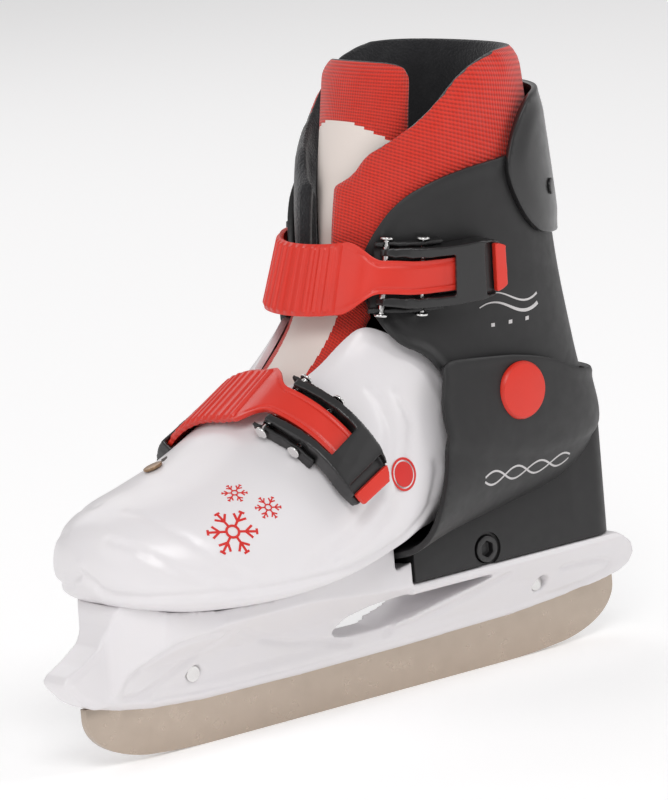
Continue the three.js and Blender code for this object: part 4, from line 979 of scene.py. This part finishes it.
@dataclass
class BladeAndHolder:
    """The steel runner, its rivets and the moulded holder."""

    length: float = 233.4
    thickness: float = 3.2
    steel_top: float = 22.0
    flat: float = 130.0
    groove: float = 0.8
    groove_width: float = 1.3
    panels: Sequence[Sequence[tuple[float, float]]] = (
        ((92, 21), (60, 19), (20, 18.4), (-40, 18.8), (-88, 20.6), (-104, 23.2), (-108, 27),
         (-100, 30), (-84, 30.6)),
        ((104, 24), (96, 24), (74, 36), (72, 41), (92, 41), (103, 32), (105, 26)),
        ((64, 40), (40, 30), (24, 26.4), (8, 22.4)),
        ((-8, 22.6), (-22, 24.4), (-38, 28), (-56, 33.8)),
    )

    def build(self) -> None:
        """Makes every piece of the blade and its holder."""
        self._runner()
        self._holder()
        for node in ("runner_rivet_front", "runner_rivet_rear"):
            TurnedPiece(node, CHROME).build("chassis")
        for node in ("sole_screw_front", "sole_screw_rear"):
            keep(node, CHROME)

    def _runner(self) -> None:
        """The runner, with its rounded ends."""
        half, flat, rise = self.length / 2, self.flat / 2, 1.6
        end = half - 24
        share = np.linspace(0, 1, 24)
        rocker = [(flat + (end - flat) * s, rise * s ** 1.8) for s in share]
        nose = [((1 - s) ** 3 * end + 3 * (1 - s) ** 2 * s * (half - 8) + 3 * (1 - s) * s * s * half
                 + s ** 3 * half,
                 (1 - s) ** 3 * rise + 12 * (1 - s) ** 2 * s + 33 * (1 - s) * s * s + 18 * s ** 3)
                for s in share[1:]]
        front = [*rocker, *nose, (half, self.steel_top)]
        outline = front + [(-x, z) for x, z in reversed(front)]
        y = -self.thickness / 2
        obj = from_points("runner_steel", [(x, y, z) for x, z in outline], [range(len(outline))])
        if obj.data.polygons[0].normal.y > 0:
            obj.data.flip_normals()
        apply_modifier(obj, "SOLIDIFY", thickness=self.thickness * MM, offset=-1)
        apply_modifier(obj, "BEVEL", width=0.22 * MM, segments=2, limit_method="ANGLE",
                       angle_limit=math.radians(40))
        smooth(obj, 30)
        dress(obj, STEEL)
        deliver(obj, "chassis", "runner")

    def _holder(self) -> None:
        """The white holder, with the shallow panel lines of its mould."""
        lines = [through(panel) for panel in self.panels]

        def relief(points: np.ndarray) -> np.ndarray:
            """Grooves along the panel lines, on both sides."""
            side = points[:, [0, 2]]
            away = np.min([distance_to(line, side) for line in lines], axis=0)
            outer = eased(np.abs(points[:, 1]), 4.5, 6.5)
            return -self.groove * np.exp(-(away / self.groove_width) ** 2) * outer

        obj = moulded_copy("holder_moulding", "blade_holder", 0.7, 3, relief)
        dress(obj, WHITE_SHELL)
        deliver(obj, "chassis", "blade_holder")


def keep(node: str, finish: Finish) -> None:
    """Leaves a CAD node as it is and gives it its finish."""
    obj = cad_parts[node]
    dress(obj, finish)
    LOG.info("%s: kept, %s", node, finish.name)


# ---------------------------------------------------------------- front of the boot


LINING_OUT, LINING_WALL = -2.8, 3.2
TOE_LINING: Outline = ((130, 40), (130, 100), (44, 100), (34, 98), (6, 105), (-14, 112), (-38, 98),
                       (-38, 40))
HEEL_LINING: Outline = ((-46, 40), (-46, 96), (-74, 104), (-130, 104), (-130, 40))


@dataclass
class FrontShell:
    """The white front shell with its print, and the lining under the foot."""

    wall: float = 2.2
    outline: Outline = ((130, 40), (130, 118), (40, 118), (33, 113), (25, 116), (17, 121), (9, 127.5),
                        (2, 132.5), (-4, 130.5), (-14, 122.5), (-28, 109), (-40, 100), (-40, 40))
    under_cuff: Outline = ((-2, 145), (-3.5, 129.5), (-8, 125.5), (-14, 122), (-19, 117), (-22.5, 107),
                           (-48, 98), (-48, 145))
    recess: float = 1.3
    rand: Line = ((114, 0, 67), (112, 6, 64), (109, 10, 61.5), (101, 27, 60), (85, 38, 59),
                  (56, 44, 57.5), (29, 42, 58), (8, 38.5, 60), (-6, 40, 70), (-12, 39, 84))
    toe_arcs: Sequence[Line] = (
        ((104, 10, 76), (99, 20, 72), (92, 30, 66), (84, 38, 60.5)),
        ((97, 8, 84), (92, 22, 79), (83, 34, 70), (72, 41, 60)),
    )
    creases: Sequence[Line] = (
        ((8, 30, 112), (6, 35, 101), (13, 39, 86), (30, 42, 72), (52, 43, 63)),
        ((-2, 33, 110), (-3, 36, 98), (4, 39, 84), (20, 41.5, 70), (40, 43.5, 61)),
    )

    def _relief(self, base: np.ndarray, depth: np.ndarray) -> np.ndarray:
        """The welt along the rand, the toe arcs and the creases of the side."""
        mirrored = np.stack([base[:, 0], np.abs(base[:, 1]), base[:, 2]], 1)
        rand = BOOT.snapped(through(self.rand))
        away = distance_to(rand, mirrored)
        order = np.argsort(rand[:, 0])
        level = np.interp(mirrored[:, 0], rand[order, 0], rand[order, 2])
        under = eased(level - mirrored[:, 2], -1.0, 1.5) * eased(mirrored[:, 0], -14, 2)
        out = -1.0 * np.exp(-(away / 1.7) ** 2) + 1.1 * under * np.exp(-(away / 7) ** 2)
        for arc in self.toe_arcs:
            out -= 0.45 * np.exp(-(distance_to(BOOT.snapped(through(arc)), mirrored) / 1.8) ** 2)
        for crease in self.creases:
            out -= 0.75 * np.exp(-(distance_to(BOOT.snapped(through(crease)), mirrored) / 1.9) ** 2)
        hidden = eased(depth_inside(np.array(self.under_cuff), mirrored[:, [0, 2]]), -6.5, -0.5)
        out += 0.35 * np.exp(-((depth - 1.6) / 1.3) ** 2) * (1 - hidden)
        return out - self.recess * hidden

    def build(self) -> None:
        """Makes the shell, its lining and its print."""
        obj = BootSheet("front_shell_moulding", self.outline, 0.0, self.wall, (0.0, 9.6), (-180, 180),
                        190, 225, self._relief, closed=True).build()
        dress(obj, WHITE_SHELL, WHITE_SHELL)
        deliver(obj, "chassis", "front_shell")
        TurnedPiece("toe_rivet", BRONZE).build("chassis")
        lining = BootSheet("toe_lining", TOE_LINING, LINING_OUT, LINING_WALL, (0.4, 9.6),
                           (-180, 180), 50, 64, closed=True, edge=0.0).build()
        dress(lining, FLEECE, FLEECE)
        deliver(lining, "chassis", "liner_toe")
        bed = moulded_copy("footbed_top", "footbed", 1.2, 4)
        write_map(bed, read_points(bed)[:, 0], read_points(bed)[:, 1])
        dress(bed, FOAM)
        deliver(bed, "chassis", "footbed")
        self._print()

    def _print(self) -> None:
        """Three snow crystals, a plain round badge, and a dark mark of painted shade where the toe slot
        opens.
        """
        crystals = (((75.5, 36, 78), 8.6, (4.6, 62)), ((66.5, 27, 88), 4.2, (5.0, 40)),
                    ((60, 36, 83), 4.4, (5.2, 55)))
        for number, (centre, size, start) in enumerate(crystals, 1):
            art = Print(f"snow_crystal_{number}", centre, 0.1, start)
            for k in range(6):
                turn = math.radians(60 * k + 8)
                rotate = np.array([[math.cos(turn), math.sin(turn)], [-math.sin(turn), math.cos(turn)]])

                def drawn(points: Outline) -> np.ndarray:
                    """A stroke of the first arm, scaled and turned to this arm."""
                    return np.array(points) * size @ rotate

                width = 0.085 * size + 0.1
                art.stroke(drawn(((0.28, 0), (0.98, 0))), width)
                art.stroke(drawn(((0.52, 0), (0.80, 0.26))), width)
                art.stroke(drawn(((0.52, 0), (0.80, -0.26))), width)
                art.stroke(drawn(((0.98, 0.12), (0.98, -0.12))), width)
            art.ring(0.2 * size, 0.3 * size, 24)
            art.build(RED_INK, "chassis")
        # The toe slot is not cut: a dark mark of painted shade is laid where it opens.
        slot = Print("toe_slot_painted_shade", (62, -16, 94), 0.1, (4.9, -18))
        slot.stroke(((-2.2, -0.6), (0, 0.5), (2.4, 0.4)), 2.2)
        slot.build(SLOT_SHADE_PAINT, "chassis")
        badge = Print("round_badge", (5, 40.5, 84), 0.1, (7.2, 80))
        badge.ring(0, 4.3, 40).ring(4.9, 5.7, 40)
        badge.build(RED_INK, "chassis")


# ---------------------------------------------------------------- heel carriage


@dataclass
class HeelCarriage:
    """The black heel shell on its base, the size screw, the pivots and the heel lining."""

    inner: float = 5.0
    wall: float = 2.2
    outline: Outline = ((-5, 40), (-5, 58), (-7, 70), (-11.5, 82), (-13.5, 93), (-12.5, 104),
                        (-16.5, 112), (-17, 118.5), (-34, 116.8), (-52, 114.8), (-70, 109.5),
                        (-80, 103.5), (-125, 97), (-125, 40))
    crease: Line = ((-10, 44, 90), (-22, 44, 85.5), (-37, 41.5, 82), (-54, 39, 80), (-70, 36, 79),
                    (-88, 28, 79), (-104, 12, 80), (-106, 0, 80.5))
    base_half: float = 21.0
    base_front: float = -12.0
    base_rear: float = -104.0
    base_low: float = 41.0
    seat: float = 5.8
    base_limit: float = 85.0
    boss: tuple[float, float] = (5.9, 1.0)
    bore: tuple[float, float] = (5.0, -3.0)
    base_corner: float = 9.0
    screw_head: float = 4.6
    screw_depth: float = 3.2
    socket: float = 2.9

    def _relief(self, base: np.ndarray, depth: np.ndarray) -> np.ndarray:
        """The ankle bulge above the crease, the crease and the lip at the top."""
        mirrored = np.stack([base[:, 0], np.abs(base[:, 1]), base[:, 2]], 1)
        line = through(self.crease)
        away = distance_to(line[:, [0, 2]], mirrored[:, [0, 2]])
        level = np.interp(mirrored[:, 0], line[::-1, 0], line[::-1, 2])
        above = eased(mirrored[:, 2] - level, -3, 4)
        out = -1.1 + 1.1 * above - 0.45 * np.exp(-(away / 1.3) ** 2)
        lip = 0.5 * np.exp(-((depth - 1.5) / 1.4) ** 2) * above
        return out + lip

    def build(self) -> None:
        """Makes the carriage's pieces."""
        shell = BootSheet("heel_shell_moulding", self.outline, self.inner + self.wall, self.wall,
                          (3.8, 14.8), (48, 312), 120, 160, self._relief).build()
        channel = self._channel()
        apply_modifier(shell, "BOOLEAN", operation="DIFFERENCE", object=channel, solver="EXACT")
        bpy.data.objects.remove(channel)
        smooth(shell)
        dress(shell, BLACK_SHELL, BLACK_SHELL)
        deliver(shell, "heel_carriage", "heel_shell")
        self._base()
        for node in ("pivot_cap_left", "pivot_cap_right"):
            TurnedPiece(node, RED_PLASTIC, 0.8, 96).build("heel_carriage")
        for node in ("pivot_rivet_left", "pivot_rivet_right", "size_nut"):
            keep(node, CHROME)
        self._size_screw()
        heel = BootSheet("heel_lining", HEEL_LINING, LINING_OUT, LINING_WALL, (7.5, 14.0),
                         (60, 300), 30, 60, edge=0.0).build()
        dress(heel, FLEECE, FLEECE)
        deliver(heel, "heel_carriage", "liner_heel")
        self._heel_print()

    def _underside(self, plan: np.ndarray) -> np.ndarray:
        """Height at which the shell is met above some points of the base's plan."""
        t, a = np.meshgrid(np.linspace(5, 14.8, 150), np.radians(np.linspace(95, 265, 150)))
        t, a = t.ravel(), a.ravel()
        low = BOOT.normal(t, a)[:, 2] < 0.25
        shell = BOOT.layer(t[low], a[low], np.full(int(low.sum()), self.seat))
        away = np.linalg.norm(plan[:, None, :] - shell[None, :, :2], axis=2)
        near = np.argsort(away, axis=1)[:, :4]
        return np.minimum(shell[near, 2].mean(axis=1), self.base_limit)

    def _base(self) -> None:
        """The base wall up to the shell, with rounded rear corners and a boss for the screw."""
        corner = self.base_corner
        quarter = np.radians(np.linspace(90, 180, 12))
        rear = [(self.base_rear + corner + corner * math.cos(q),
                 self.base_half - corner + corner * math.sin(q)) for q in quarter]
        side = [(x, self.base_half) for x in np.linspace(self.base_front, rear[0][0], 24)]
        near = np.array(side + rear[1:])
        rim = np.concatenate([near, (near * (1, -1))[::-1]])
        count = len(rim)
        shares = np.array((1.0, 0.93, 0.8, 0.6, 0.35))
        middle = np.stack([np.clip(rim[:, 0], self.base_rear + 20, self.base_front), 0 * rim[:, 1]], 1)
        plans = [middle + (rim - middle) * share for share in shares]
        rows = [np.column_stack([rim, np.full(count, self.base_low)])]
        rows += [np.column_stack([plan, self._underside(plan)]) for plan in plans]
        faces = [tuple(range(count))[::-1], tuple(range(count * len(shares), count * (len(shares) + 1)))]
        for k in range(len(shares)):
            for i in range(count):
                j = (i + 1) % count
                faces.append((k * count + i, k * count + j, (k + 1) * count + j, (k + 1) * count + i))
        obj = from_points("heel_base", np.concatenate(rows), faces)
        mesh = bmesh.new()
        mesh.from_mesh(obj.data)
        bmesh.ops.recalc_face_normals(mesh, faces=mesh.faces)
        mesh.to_mesh(obj.data)
        mesh.free()
        apply_modifier(obj, "BEVEL", width=0.5 * MM, segments=3, limit_method="ANGLE",
                       angle_limit=math.radians(60))
        low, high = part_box("size_screw")
        centre = (low + high) / 2
        rings = [self._boss(centre, radius, depth) for radius, depth in (self.boss, self.bore)]
        apply_modifier(obj, "BOOLEAN", operation="UNION", object=rings[0], solver="EXACT")
        apply_modifier(obj, "BOOLEAN", operation="DIFFERENCE", object=rings[1], solver="EXACT")
        channel = self._channel()
        apply_modifier(obj, "BOOLEAN", operation="DIFFERENCE", object=channel, solver="EXACT")
        for tool in (*rings, channel):
            bpy.data.objects.remove(tool)
        smooth(obj, 30)
        dress(obj, BLACK_SHELL)
        deliver(obj, "heel_carriage")

    def _boss(self, centre: Vector, radius: float, depth: float) -> bpy.types.Object:
        """A round tool across the near wall: a boss that stands out, or a bore that goes in."""
        inside = self.base_half - 1.0 if depth > 0 else self.base_half + depth
        outside = self.base_half + (depth if depth > 0 else 6.0)
        bpy.ops.mesh.primitive_cylinder_add(
            vertices=48, radius=radius * MM, depth=(outside - inside) * MM,
            location=(centre.x, (outside + inside) / 2 * MM, centre.z), rotation=(math.pi / 2, 0, 0))
        return settle(bpy.context.object, "boss_tool")

    def _channel(self) -> bpy.types.Object:
        """The tool for the channel that the holder's rail runs in."""
        bpy.ops.mesh.primitive_cube_add(size=1, location=(-0.03, 0, 0.0455))
        tool = bpy.context.object
        tool.scale = (0.14, 0.017, 0.0115)
        return settle(tool, "channel_tool")

    def _size_screw(self) -> None:
        """The screw head with its hex socket."""
        low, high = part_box("size_screw")
        centre = (low + high) / 2
        face = high.y / MM
        middle = (centre.x, (face - self.screw_depth / 2) * MM, centre.z)
        bpy.ops.mesh.primitive_cylinder_add(vertices=48, radius=self.screw_head * MM,
                                            depth=self.screw_depth * MM, location=middle,
                                            rotation=(math.pi / 2, 0, 0))
        obj = settle(bpy.context.object, "size_screw_head")
        bpy.ops.mesh.primitive_cylinder_add(vertices=6, radius=self.socket * MM, depth=5 * MM,
                                            location=(centre.x, face * MM, centre.z),
                                            rotation=(math.pi / 2, 0, 0))
        socket = settle(bpy.context.object, "socket_tool")
        apply_modifier(obj, "BOOLEAN", operation="DIFFERENCE", object=socket, solver="EXACT")
        bpy.data.objects.remove(socket)
        apply_modifier(obj, "BEVEL", width=0.3 * MM, segments=3, limit_method="ANGLE",
                       angle_limit=math.radians(50))
        smooth(obj, 30)
        dress(obj, BLACK_GLOSS)
        deliver(obj, "size_screw", "size_screw")

    def _heel_print(self) -> None:
        """A pale twisted line along the heel."""
        twist = Print("twisted_line", (-55, 37, 72), self.inner + self.wall - 1.02, (9.6, 110))
        x = np.linspace(-25, 25, 80)
        for phase in (0.0, math.pi):
            twist.stroke(list(zip(x, 2.0 * np.sin(x / 4.2 + phase) + 0.03 * x)), 0.6)
        twist.build(PALE_INK, "heel_carriage")


# ---------------------------------------------------------------- cuff


@dataclass
class Cuff:
    """The black cuff, its rear spoiler, the padded collar and the tongue."""

    inner: float = 1.4
    wall: float = 2.2
    outline: Outline = ((-1, 134), (1, 141), (0, 150), (-2, 156.5), (-6, 165), (-10.5, 171.3),
                        (-16.5, 176), (-26, 179.5), (-37, 181.7), (-50, 182.5), (-64, 184), (-110, 186),
                        (-110, 98), (-74, 92), (-50, 90), (-32, 95), (-22, 106), (-18, 116),
                        (-13.3, 121.3), (-6.8, 124.5), (-3, 129))
    spoiler: Outline = ((-51, 181.5), (-51, 175), (-54, 167.5), (-60, 158.5), (-70, 152), (-110, 150),
                        (-110, 202), (-74, 202), (-66, 200.5), (-59, 195.5), (-54.5, 189.5))
    collar: Outline = ((-110, 112), (-58, 112), (-43, 124), (-26, 138), (-8, 147), (20, 151), (20, 166),
                       (8, 176), (-2, 180), (-5, 185), (-8, 190), (-17, 195), (-29, 204), (-36, 211.5),
                       (-48, 217), (-62, 219), (-110, 214))
    tongue: Outline = ((-20, 146), (22, 146), (22, 222), (-34, 219), (-34, 190))
    flap_front: float = 2.0
    gusset: Outline = ((48, 101), (60, 120), (20, 150), (-6, 150), (-4, 128), (8, 112), (34, 101))

    def build(self) -> None:
        """Makes the cuff's pieces."""
        shell = BootSheet("cuff_moulding", self.outline, self.inner + self.wall, self.wall, (5.6, 16.2),
                          (22, 338), 120, 180, self._cuff_relief).build()
        dress(shell, BLACK_SHELL, BLACK_SHELL)
        deliver(shell, "cuff", "cuff")
        spoiler = BootSheet("spoiler_moulding", self.spoiler, self.inner + self.wall + 2.6, self.wall,
                            (12.6, 16.6), (84, 276), 70, 110, self._spoiler_relief, edge=0.6).build()
        dress(spoiler, BLACK_GLOSS, BLACK_GLOSS)
        deliver(spoiler, "cuff", "rear_spoiler")
        for node in ("spoiler_rivet_left", "spoiler_rivet_right"):
            TurnedPiece(node, BLACK_GLOSS).build("cuff")
        self._collar()
        self._tongue()
        self._flourish()

    def _flourish(self) -> None:
        """A plain pale wave on the outer side, with three dots under it."""
        art = Print("cuff_flourish", (-50, 38, 131), self.inner + self.wall + 0.1, (11.4, 95))
        x = np.linspace(-12, 12, 50)
        for lift, width in ((0.0, 1.3), (3.4, 0.8)):
            art.stroke(list(zip(x, lift + 2.6 * np.sin(x / 4.6))), width, 0.3)
        for step in (-7, 0, 7):
            art.stroke(((step - 0.7, -5.5), (step + 0.7, -5.5)), 1.3)
        art.build(PALE_INK, "cuff")

    def _cuff_relief(self, base: np.ndarray, depth: np.ndarray) -> np.ndarray:
        """A rolled lip along the edge."""
        return 0.45 * np.exp(-((depth - 1.5) / 1.3) ** 2) - 0.25 * np.exp(-((depth - 4.6) / 1.1) ** 2)

    def _spoiler_relief(self, base: np.ndarray, depth: np.ndarray) -> np.ndarray:
        """A soft crown toward the middle of the back."""
        return -0.5 + 0.9 * eased(depth, 0, 9)

    def _pad_relief(self, base: np.ndarray, depth: np.ndarray) -> np.ndarray:
        """The outer face turns in toward the sewn edge."""
        share = np.clip(1 - depth / 5.0, 0, 1)
        return -3.2 * (1 - np.sqrt(np.maximum(1 - share ** 2, 0)))

    def _collar(self) -> None:
        """The padded collar: ribbed mesh outside, fleece inside."""
        obj = BootSheet("collar_pad", self.collar, 1.0, 7.4, (9.6, 17.0), (2, 358), 44, 84,
                        self._pad_relief, edge=0.0, rim=0.16, rim_width=5.0, gap=6.5).build()
        self._sew(obj, 1.6)
        for face in obj.data.polygons:
            x, y, _ = face.center / MM
            if y < 0 and x > -0.9 * abs(y) + self.flap_front:
                face.material_index = 1
        dress(obj, RED_MESH, FLEECE)
        deliver(obj, "cuff", "liner_collar")

    @staticmethod
    def _sew(obj: bpy.types.Object, reach: float, levels: int = 1) -> None:
        """Fills a pad by cloth simulation and smooths it.

        Args:
            obj: The pad.
            reach: The most that it may swell, in millimetres.
            levels: How many times its faces are divided after that.
        """
        wall = obj.vertex_groups["wall"].index
        held = obj.vertex_groups.new(name="held")
        for vert in obj.data.vertices:
            weight = next((g.weight for g in vert.groups if g.group == wall), 0.0)
            if weight < 0.45:
                held.add([vert.index], 1.0, "REPLACE")
        puffed(obj, reach, 3.0)
        apply_modifier(obj, "SUBSURF", levels=levels, render_levels=levels)
        alone(obj)
        bpy.ops.object.shade_smooth()

    def _tongue(self) -> None:
        """The tongue: red ribbed top, pale panel, and red gussets at the instep."""
        top = BootSheet("tongue_pad", self.tongue, -7.0, 6.0, (8.2, 17.0), (-62, 62), 48, 40,
                        self._pad_relief, edge=0.0, rim=0.2, rim_width=4.0, half=23.0).build()
        low = BootSheet("tongue_gusset", self.gusset, -2.6, 5.6, (5.0, 10.6), (-60, 60), 40, 44,
                        self._pad_relief, edge=0.0, rim=0.25, rim_width=4.0, half=20.0).build()
        for obj in (top, low):
            self._sew(obj, 1.2, levels=2)
            for face in obj.data.polygons:
                x, y, z = face.center / MM
                side = abs(y)
                upper = z > 199 - 0.02 * y * y if obj is top else side > 9.5 + 0.06 * (z - 105)
                if face.material_index == 0 and upper:
                    face.material_index = 2
            dress(obj, PANEL, FLEECE, RED_MESH)
        deliver(top, "cuff", "tongue_upper")
        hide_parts("tongue_lower")
        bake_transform(low)


# ---------------------------------------------------------------- buckles


@dataclass
class StrapPath:
    """The line that a strap follows round the boot, with its seat on the shell."""

    ground: float
    pin: float
    anchor: float
    place: Callable[[float], float]
    width: float = 25.0
    angles: np.ndarray = field(init=False)
    frames: np.ndarray = field(init=False)
    run: np.ndarray = field(init=False)

    def __post_init__(self) -> None:
        """Works out the seats from before the anchor to past the lever."""
        self.angles = np.radians(np.arange(self.anchor - 6, self.pin + 84, 2.0))
        self.frames = np.array([self._frame(a) for a in self.angles])
        steps = np.linalg.norm(np.diff(self.frames[:, 0], axis=0), axis=1)
        self.run = np.concatenate([[0], np.cumsum(steps)])

    def _frame(self, a: float) -> np.ndarray:
        """Origin, along, across and out of the seat at one angle."""
        place = self.place(a)
        per_ring = 10 * float(np.linalg.norm(BOOT.point(place + 0.05, a) - BOOT.point(place - 0.05, a)))
        reach = self.width / 2 / per_ring
        rear = BOOT.layer(place + reach, a, self.ground)[0]
        front = BOOT.layer(place - reach, a, self.ground)[0]
        across = (rear - front) / np.linalg.norm(rear - front)
        step = 4e-3
        along = (BOOT.point(self.place(a + step), a + step)
                 - BOOT.point(self.place(a - step), a - step))[0]
        along -= across * float(along @ across)
        along /= np.linalg.norm(along)
        out = np.cross(along, across)
        origin = BOOT.layer(place, a, self.ground)[0]
        hollow = float((rear - origin) @ out)
        return np.array([origin + out * max(0.0, hollow), along, across, out])

    def run_at(self, degrees: float) -> float:
        """Length along the path at an angle."""
        return float(np.interp(math.radians(degrees), self.angles, self.run))

    def seats(self, run: np.ndarray) -> np.ndarray:
        """The seats at some lengths along the path: origin, along, across and out."""
        flat = self.frames.reshape(len(self.run), -1)
        return np.stack([np.interp(run, self.run, column) for column in flat.T], 1).reshape(-1, 4, 3)


@dataclass
class Buckle:
    """A lever buckle with its strap, from the far anchor to the release tab."""

    name: str
    body: str
    path: StrapPath
    ribs: tuple[float, float]
    rib_pitch: float = 3.6
    rib_height: float = 0.9
    thickness: float = 1.9
    rest: float = 1.6
    height: float = 5.4
    tail_half: float = 5.6
    tail: float = 28.5

    def build(self) -> None:
        """Makes the buckle's pieces."""
        self._strap()
        parts = ((f"{self.name}_buckle_base", BLACK_SHELL, self.body, 0.45),
                 (f"{self.name}_lever", BLACK_GLOSS, f"{self.name}_lever", 0.38),
                 (f"{self.name}_release_tab", RED_PLASTIC, f"{self.name}_release_tab", 0.28),
                 (f"{self.name}_strap_anchor", BLACK_GLOSS, self.body, 0.45))
        for node, finish, body, voxel in parts:
            obj = moulded_copy(node + "_moulding", node, voxel, 4)
            dress(obj, finish)
            deliver(obj, body, node)
        for node in ("lever_pin", "pawl_pin", "anchor_rivet"):
            TurnedPiece(f"{self.name}_{node}", CHROME, 0.3).build(self.body)
        keep(f"{self.name}_pawl", BLACK_SHELL)

    def _strap(self) -> None:
        """The moulded strap, ribbed over the front and narrow under the lever."""
        path = self.path
        start, pin = path.run_at(path.anchor) + 2.5, path.run_at(path.pin)
        end = pin + self.tail
        obj, u, v = grid(f"{self.name}_strap_moulding", 300, 34)
        run = start + (end - start) * u
        first, last = path.run_at(self.ribs[0]), path.run_at(self.ribs[1])
        taper = eased(run, last + 1, pin - 1)
        half = 12.3 - (12.3 - self.tail_half) * taper
        half = half - 4 * np.clip(1 - (end - run) / 5, 0, 1) ** 2
        side = (2 * v - 1) * half
        angle = np.degrees(np.interp(run, path.run, path.angles))
        low = self.rest + (self.height - self.rest) * eased(angle, path.pin - 26, path.pin - 6)
        wave = 0.5 + 0.5 * np.cos(2 * np.pi * (run - first) / self.rib_pitch)
        within = eased(run, first - 1, first) * (1 - eased(run, last - 0.6, last + 0.2))
        inside = eased(half - np.abs(side), 0.3, 1.6)
        ribs = self.rib_height * within * (0.35 + 0.65 * eased(wave, 0.25, 0.75)) * inside
        groove = -0.35 * np.exp(-((half - np.abs(side) - 1.7) / 0.4) ** 2) * (1 - within)
        top = low + self.thickness - 0.35 + ribs + groove
        seats = path.seats(run)
        lay(obj, seats[:, 0] + seats[:, 2] * side[:, None] + seats[:, 3] * top[:, None])
        write_map(obj, run, side)
        if float((read_normals(obj) * seats[:, 3]).sum()) < 0:
            obj.data.flip_normals()
        apply_modifier(obj, "SOLIDIFY", thickness=1.5 * MM, offset=-1)
        apply_modifier(obj, "BEVEL", width=0.35 * MM, segments=2, limit_method="ANGLE",
                       angle_limit=math.radians(60))
        smooth(obj)
        dress(obj, RED_PLASTIC)
        deliver(obj, self.body, f"{self.name}_strap")


def upper_place(a: float) -> float:
    """Place of the upper strap: nearly level round the cuff."""
    return BOOT.place_at_height(146 + 2.5 * float(eased(abs(a), 0, 1.4)), a)


def lower_place(a: float) -> float:
    """Place of the lower strap: along a ring of the instep."""
    return 6.1 + 0.3 * float(eased(a, 0, 1.4))


# ---------------------------------------------------------------- studio


@dataclass
class Studio:
    """The floor, the lights and the camera."""

    azimuth: float = 38.5
    elevation: float = 10.6
    roll: float = 5.0
    distance: float = 2.2
    across: float = -5.12
    height: float = 103.4
    shift_x: float = 4.8
    lens: float = 347.3

    def build(self) -> None:
        """Sets the stage round the skate."""
        self._camera()
        self._floor()
        self._light("key", (0.9, 1.3, 1.5), 0.9, 15)
        self._light("fill", (1.5, -0.2, 0.9), 1.2, 4.5)
        self._light("rim", (-1.2, 0.9, 1.1), 0.9, 7)
        self._light("back", (-0.4, -1.4, 1.2), 1.2, 5)
        world = bpy.data.worlds.new("soft_studio")
        bpy.context.scene.world = world
        world.use_nodes = True
        background = world.node_tree.nodes["Background"]
        background.inputs["Color"].default_value = (1.0, 0.985, 0.99, 1)
        background.inputs["Strength"].default_value = 0.42
        bpy.context.scene.view_settings.view_transform = "Standard"

    def _camera(self) -> None:
        """A long lens from in front of the outer side, a little above and rolled."""
        a, e, roll = (math.radians(v) for v in (self.azimuth, self.elevation, self.roll))
        toward = Vector((math.sin(a) * math.cos(e), math.cos(a) * math.cos(e), math.sin(e)))
        level = Vector((-math.cos(a), math.sin(a), 0))
        up = toward.cross(level)
        right = level * math.cos(roll) - up * math.sin(roll)
        top = level * math.sin(roll) + up * math.cos(roll)
        aim = (right * self.across + top * self.height) * MM + Vector((self.shift_x * MM, 0, 0))
        data = bpy.data.cameras.new("camera")
        data.lens = self.lens
        data.sensor_width = 36
        data.sensor_fit = "HORIZONTAL"
        data.clip_end = 50
        camera = bpy.data.objects.new("camera", data)
        bpy.context.scene.collection.objects.link(camera)
        turn = Matrix((right, top, toward)).transposed().to_4x4()
        camera.matrix_world = Matrix.Translation(aim + toward * self.distance) @ turn
        bpy.context.scene.camera = camera

    def _floor(self) -> None:
        """A wide pale floor."""
        bpy.ops.object.select_all(action="DESELECT")
        bpy.ops.mesh.primitive_plane_add(size=14, location=(0, 0, 0))
        floor = bpy.context.object
        floor.name = "studio_floor"
        material = bpy.data.materials.new("studio_floor")
        material.use_nodes = True
        shader = material.node_tree.nodes["Principled BSDF"]
        shader.inputs["Base Color"].default_value = (0.93, 0.93, 0.93, 1)
        shader.inputs["Roughness"].default_value = 0.9
        shader.inputs["Emission Color"].default_value = (1, 1, 1, 1)
        shader.inputs["Emission Strength"].default_value = 0.22
        floor.data.materials.append(material)

    @staticmethod
    def _light(name: str, place: tuple[float, float, float], size: float, power: float) -> None:
        """An area light that faces the skate."""
        data = bpy.data.lights.new(name, "AREA")
        data.size = size
        data.energy = power
        light = bpy.data.objects.new(name, data)
        bpy.context.scene.collection.objects.link(light)
        light.location = place
        direction = Vector((0, 0, 0.1)) - Vector(place)
        light.rotation_euler = direction.to_track_quat("-Z", "Y").to_euler()


# ---------------------------------------------------------------- all of it


def main() -> None:
    """Builds the studio and the skate."""
    logging.basicConfig(level=logging.INFO, format="%(name)s %(message)s")
    Studio().build()
    BladeAndHolder().build()
    FrontShell().build()
    HeelCarriage().build()
    Cuff().build()
    Buckle("upper", "cuff", StrapPath(3.6, 40, -72, upper_place), (-50, 23)).build()
    Buckle("lower", "chassis", StrapPath(0.0, 22, -62, lower_place), (-44, 6)).build()
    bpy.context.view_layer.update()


if __name__ == "__main__":
    main()
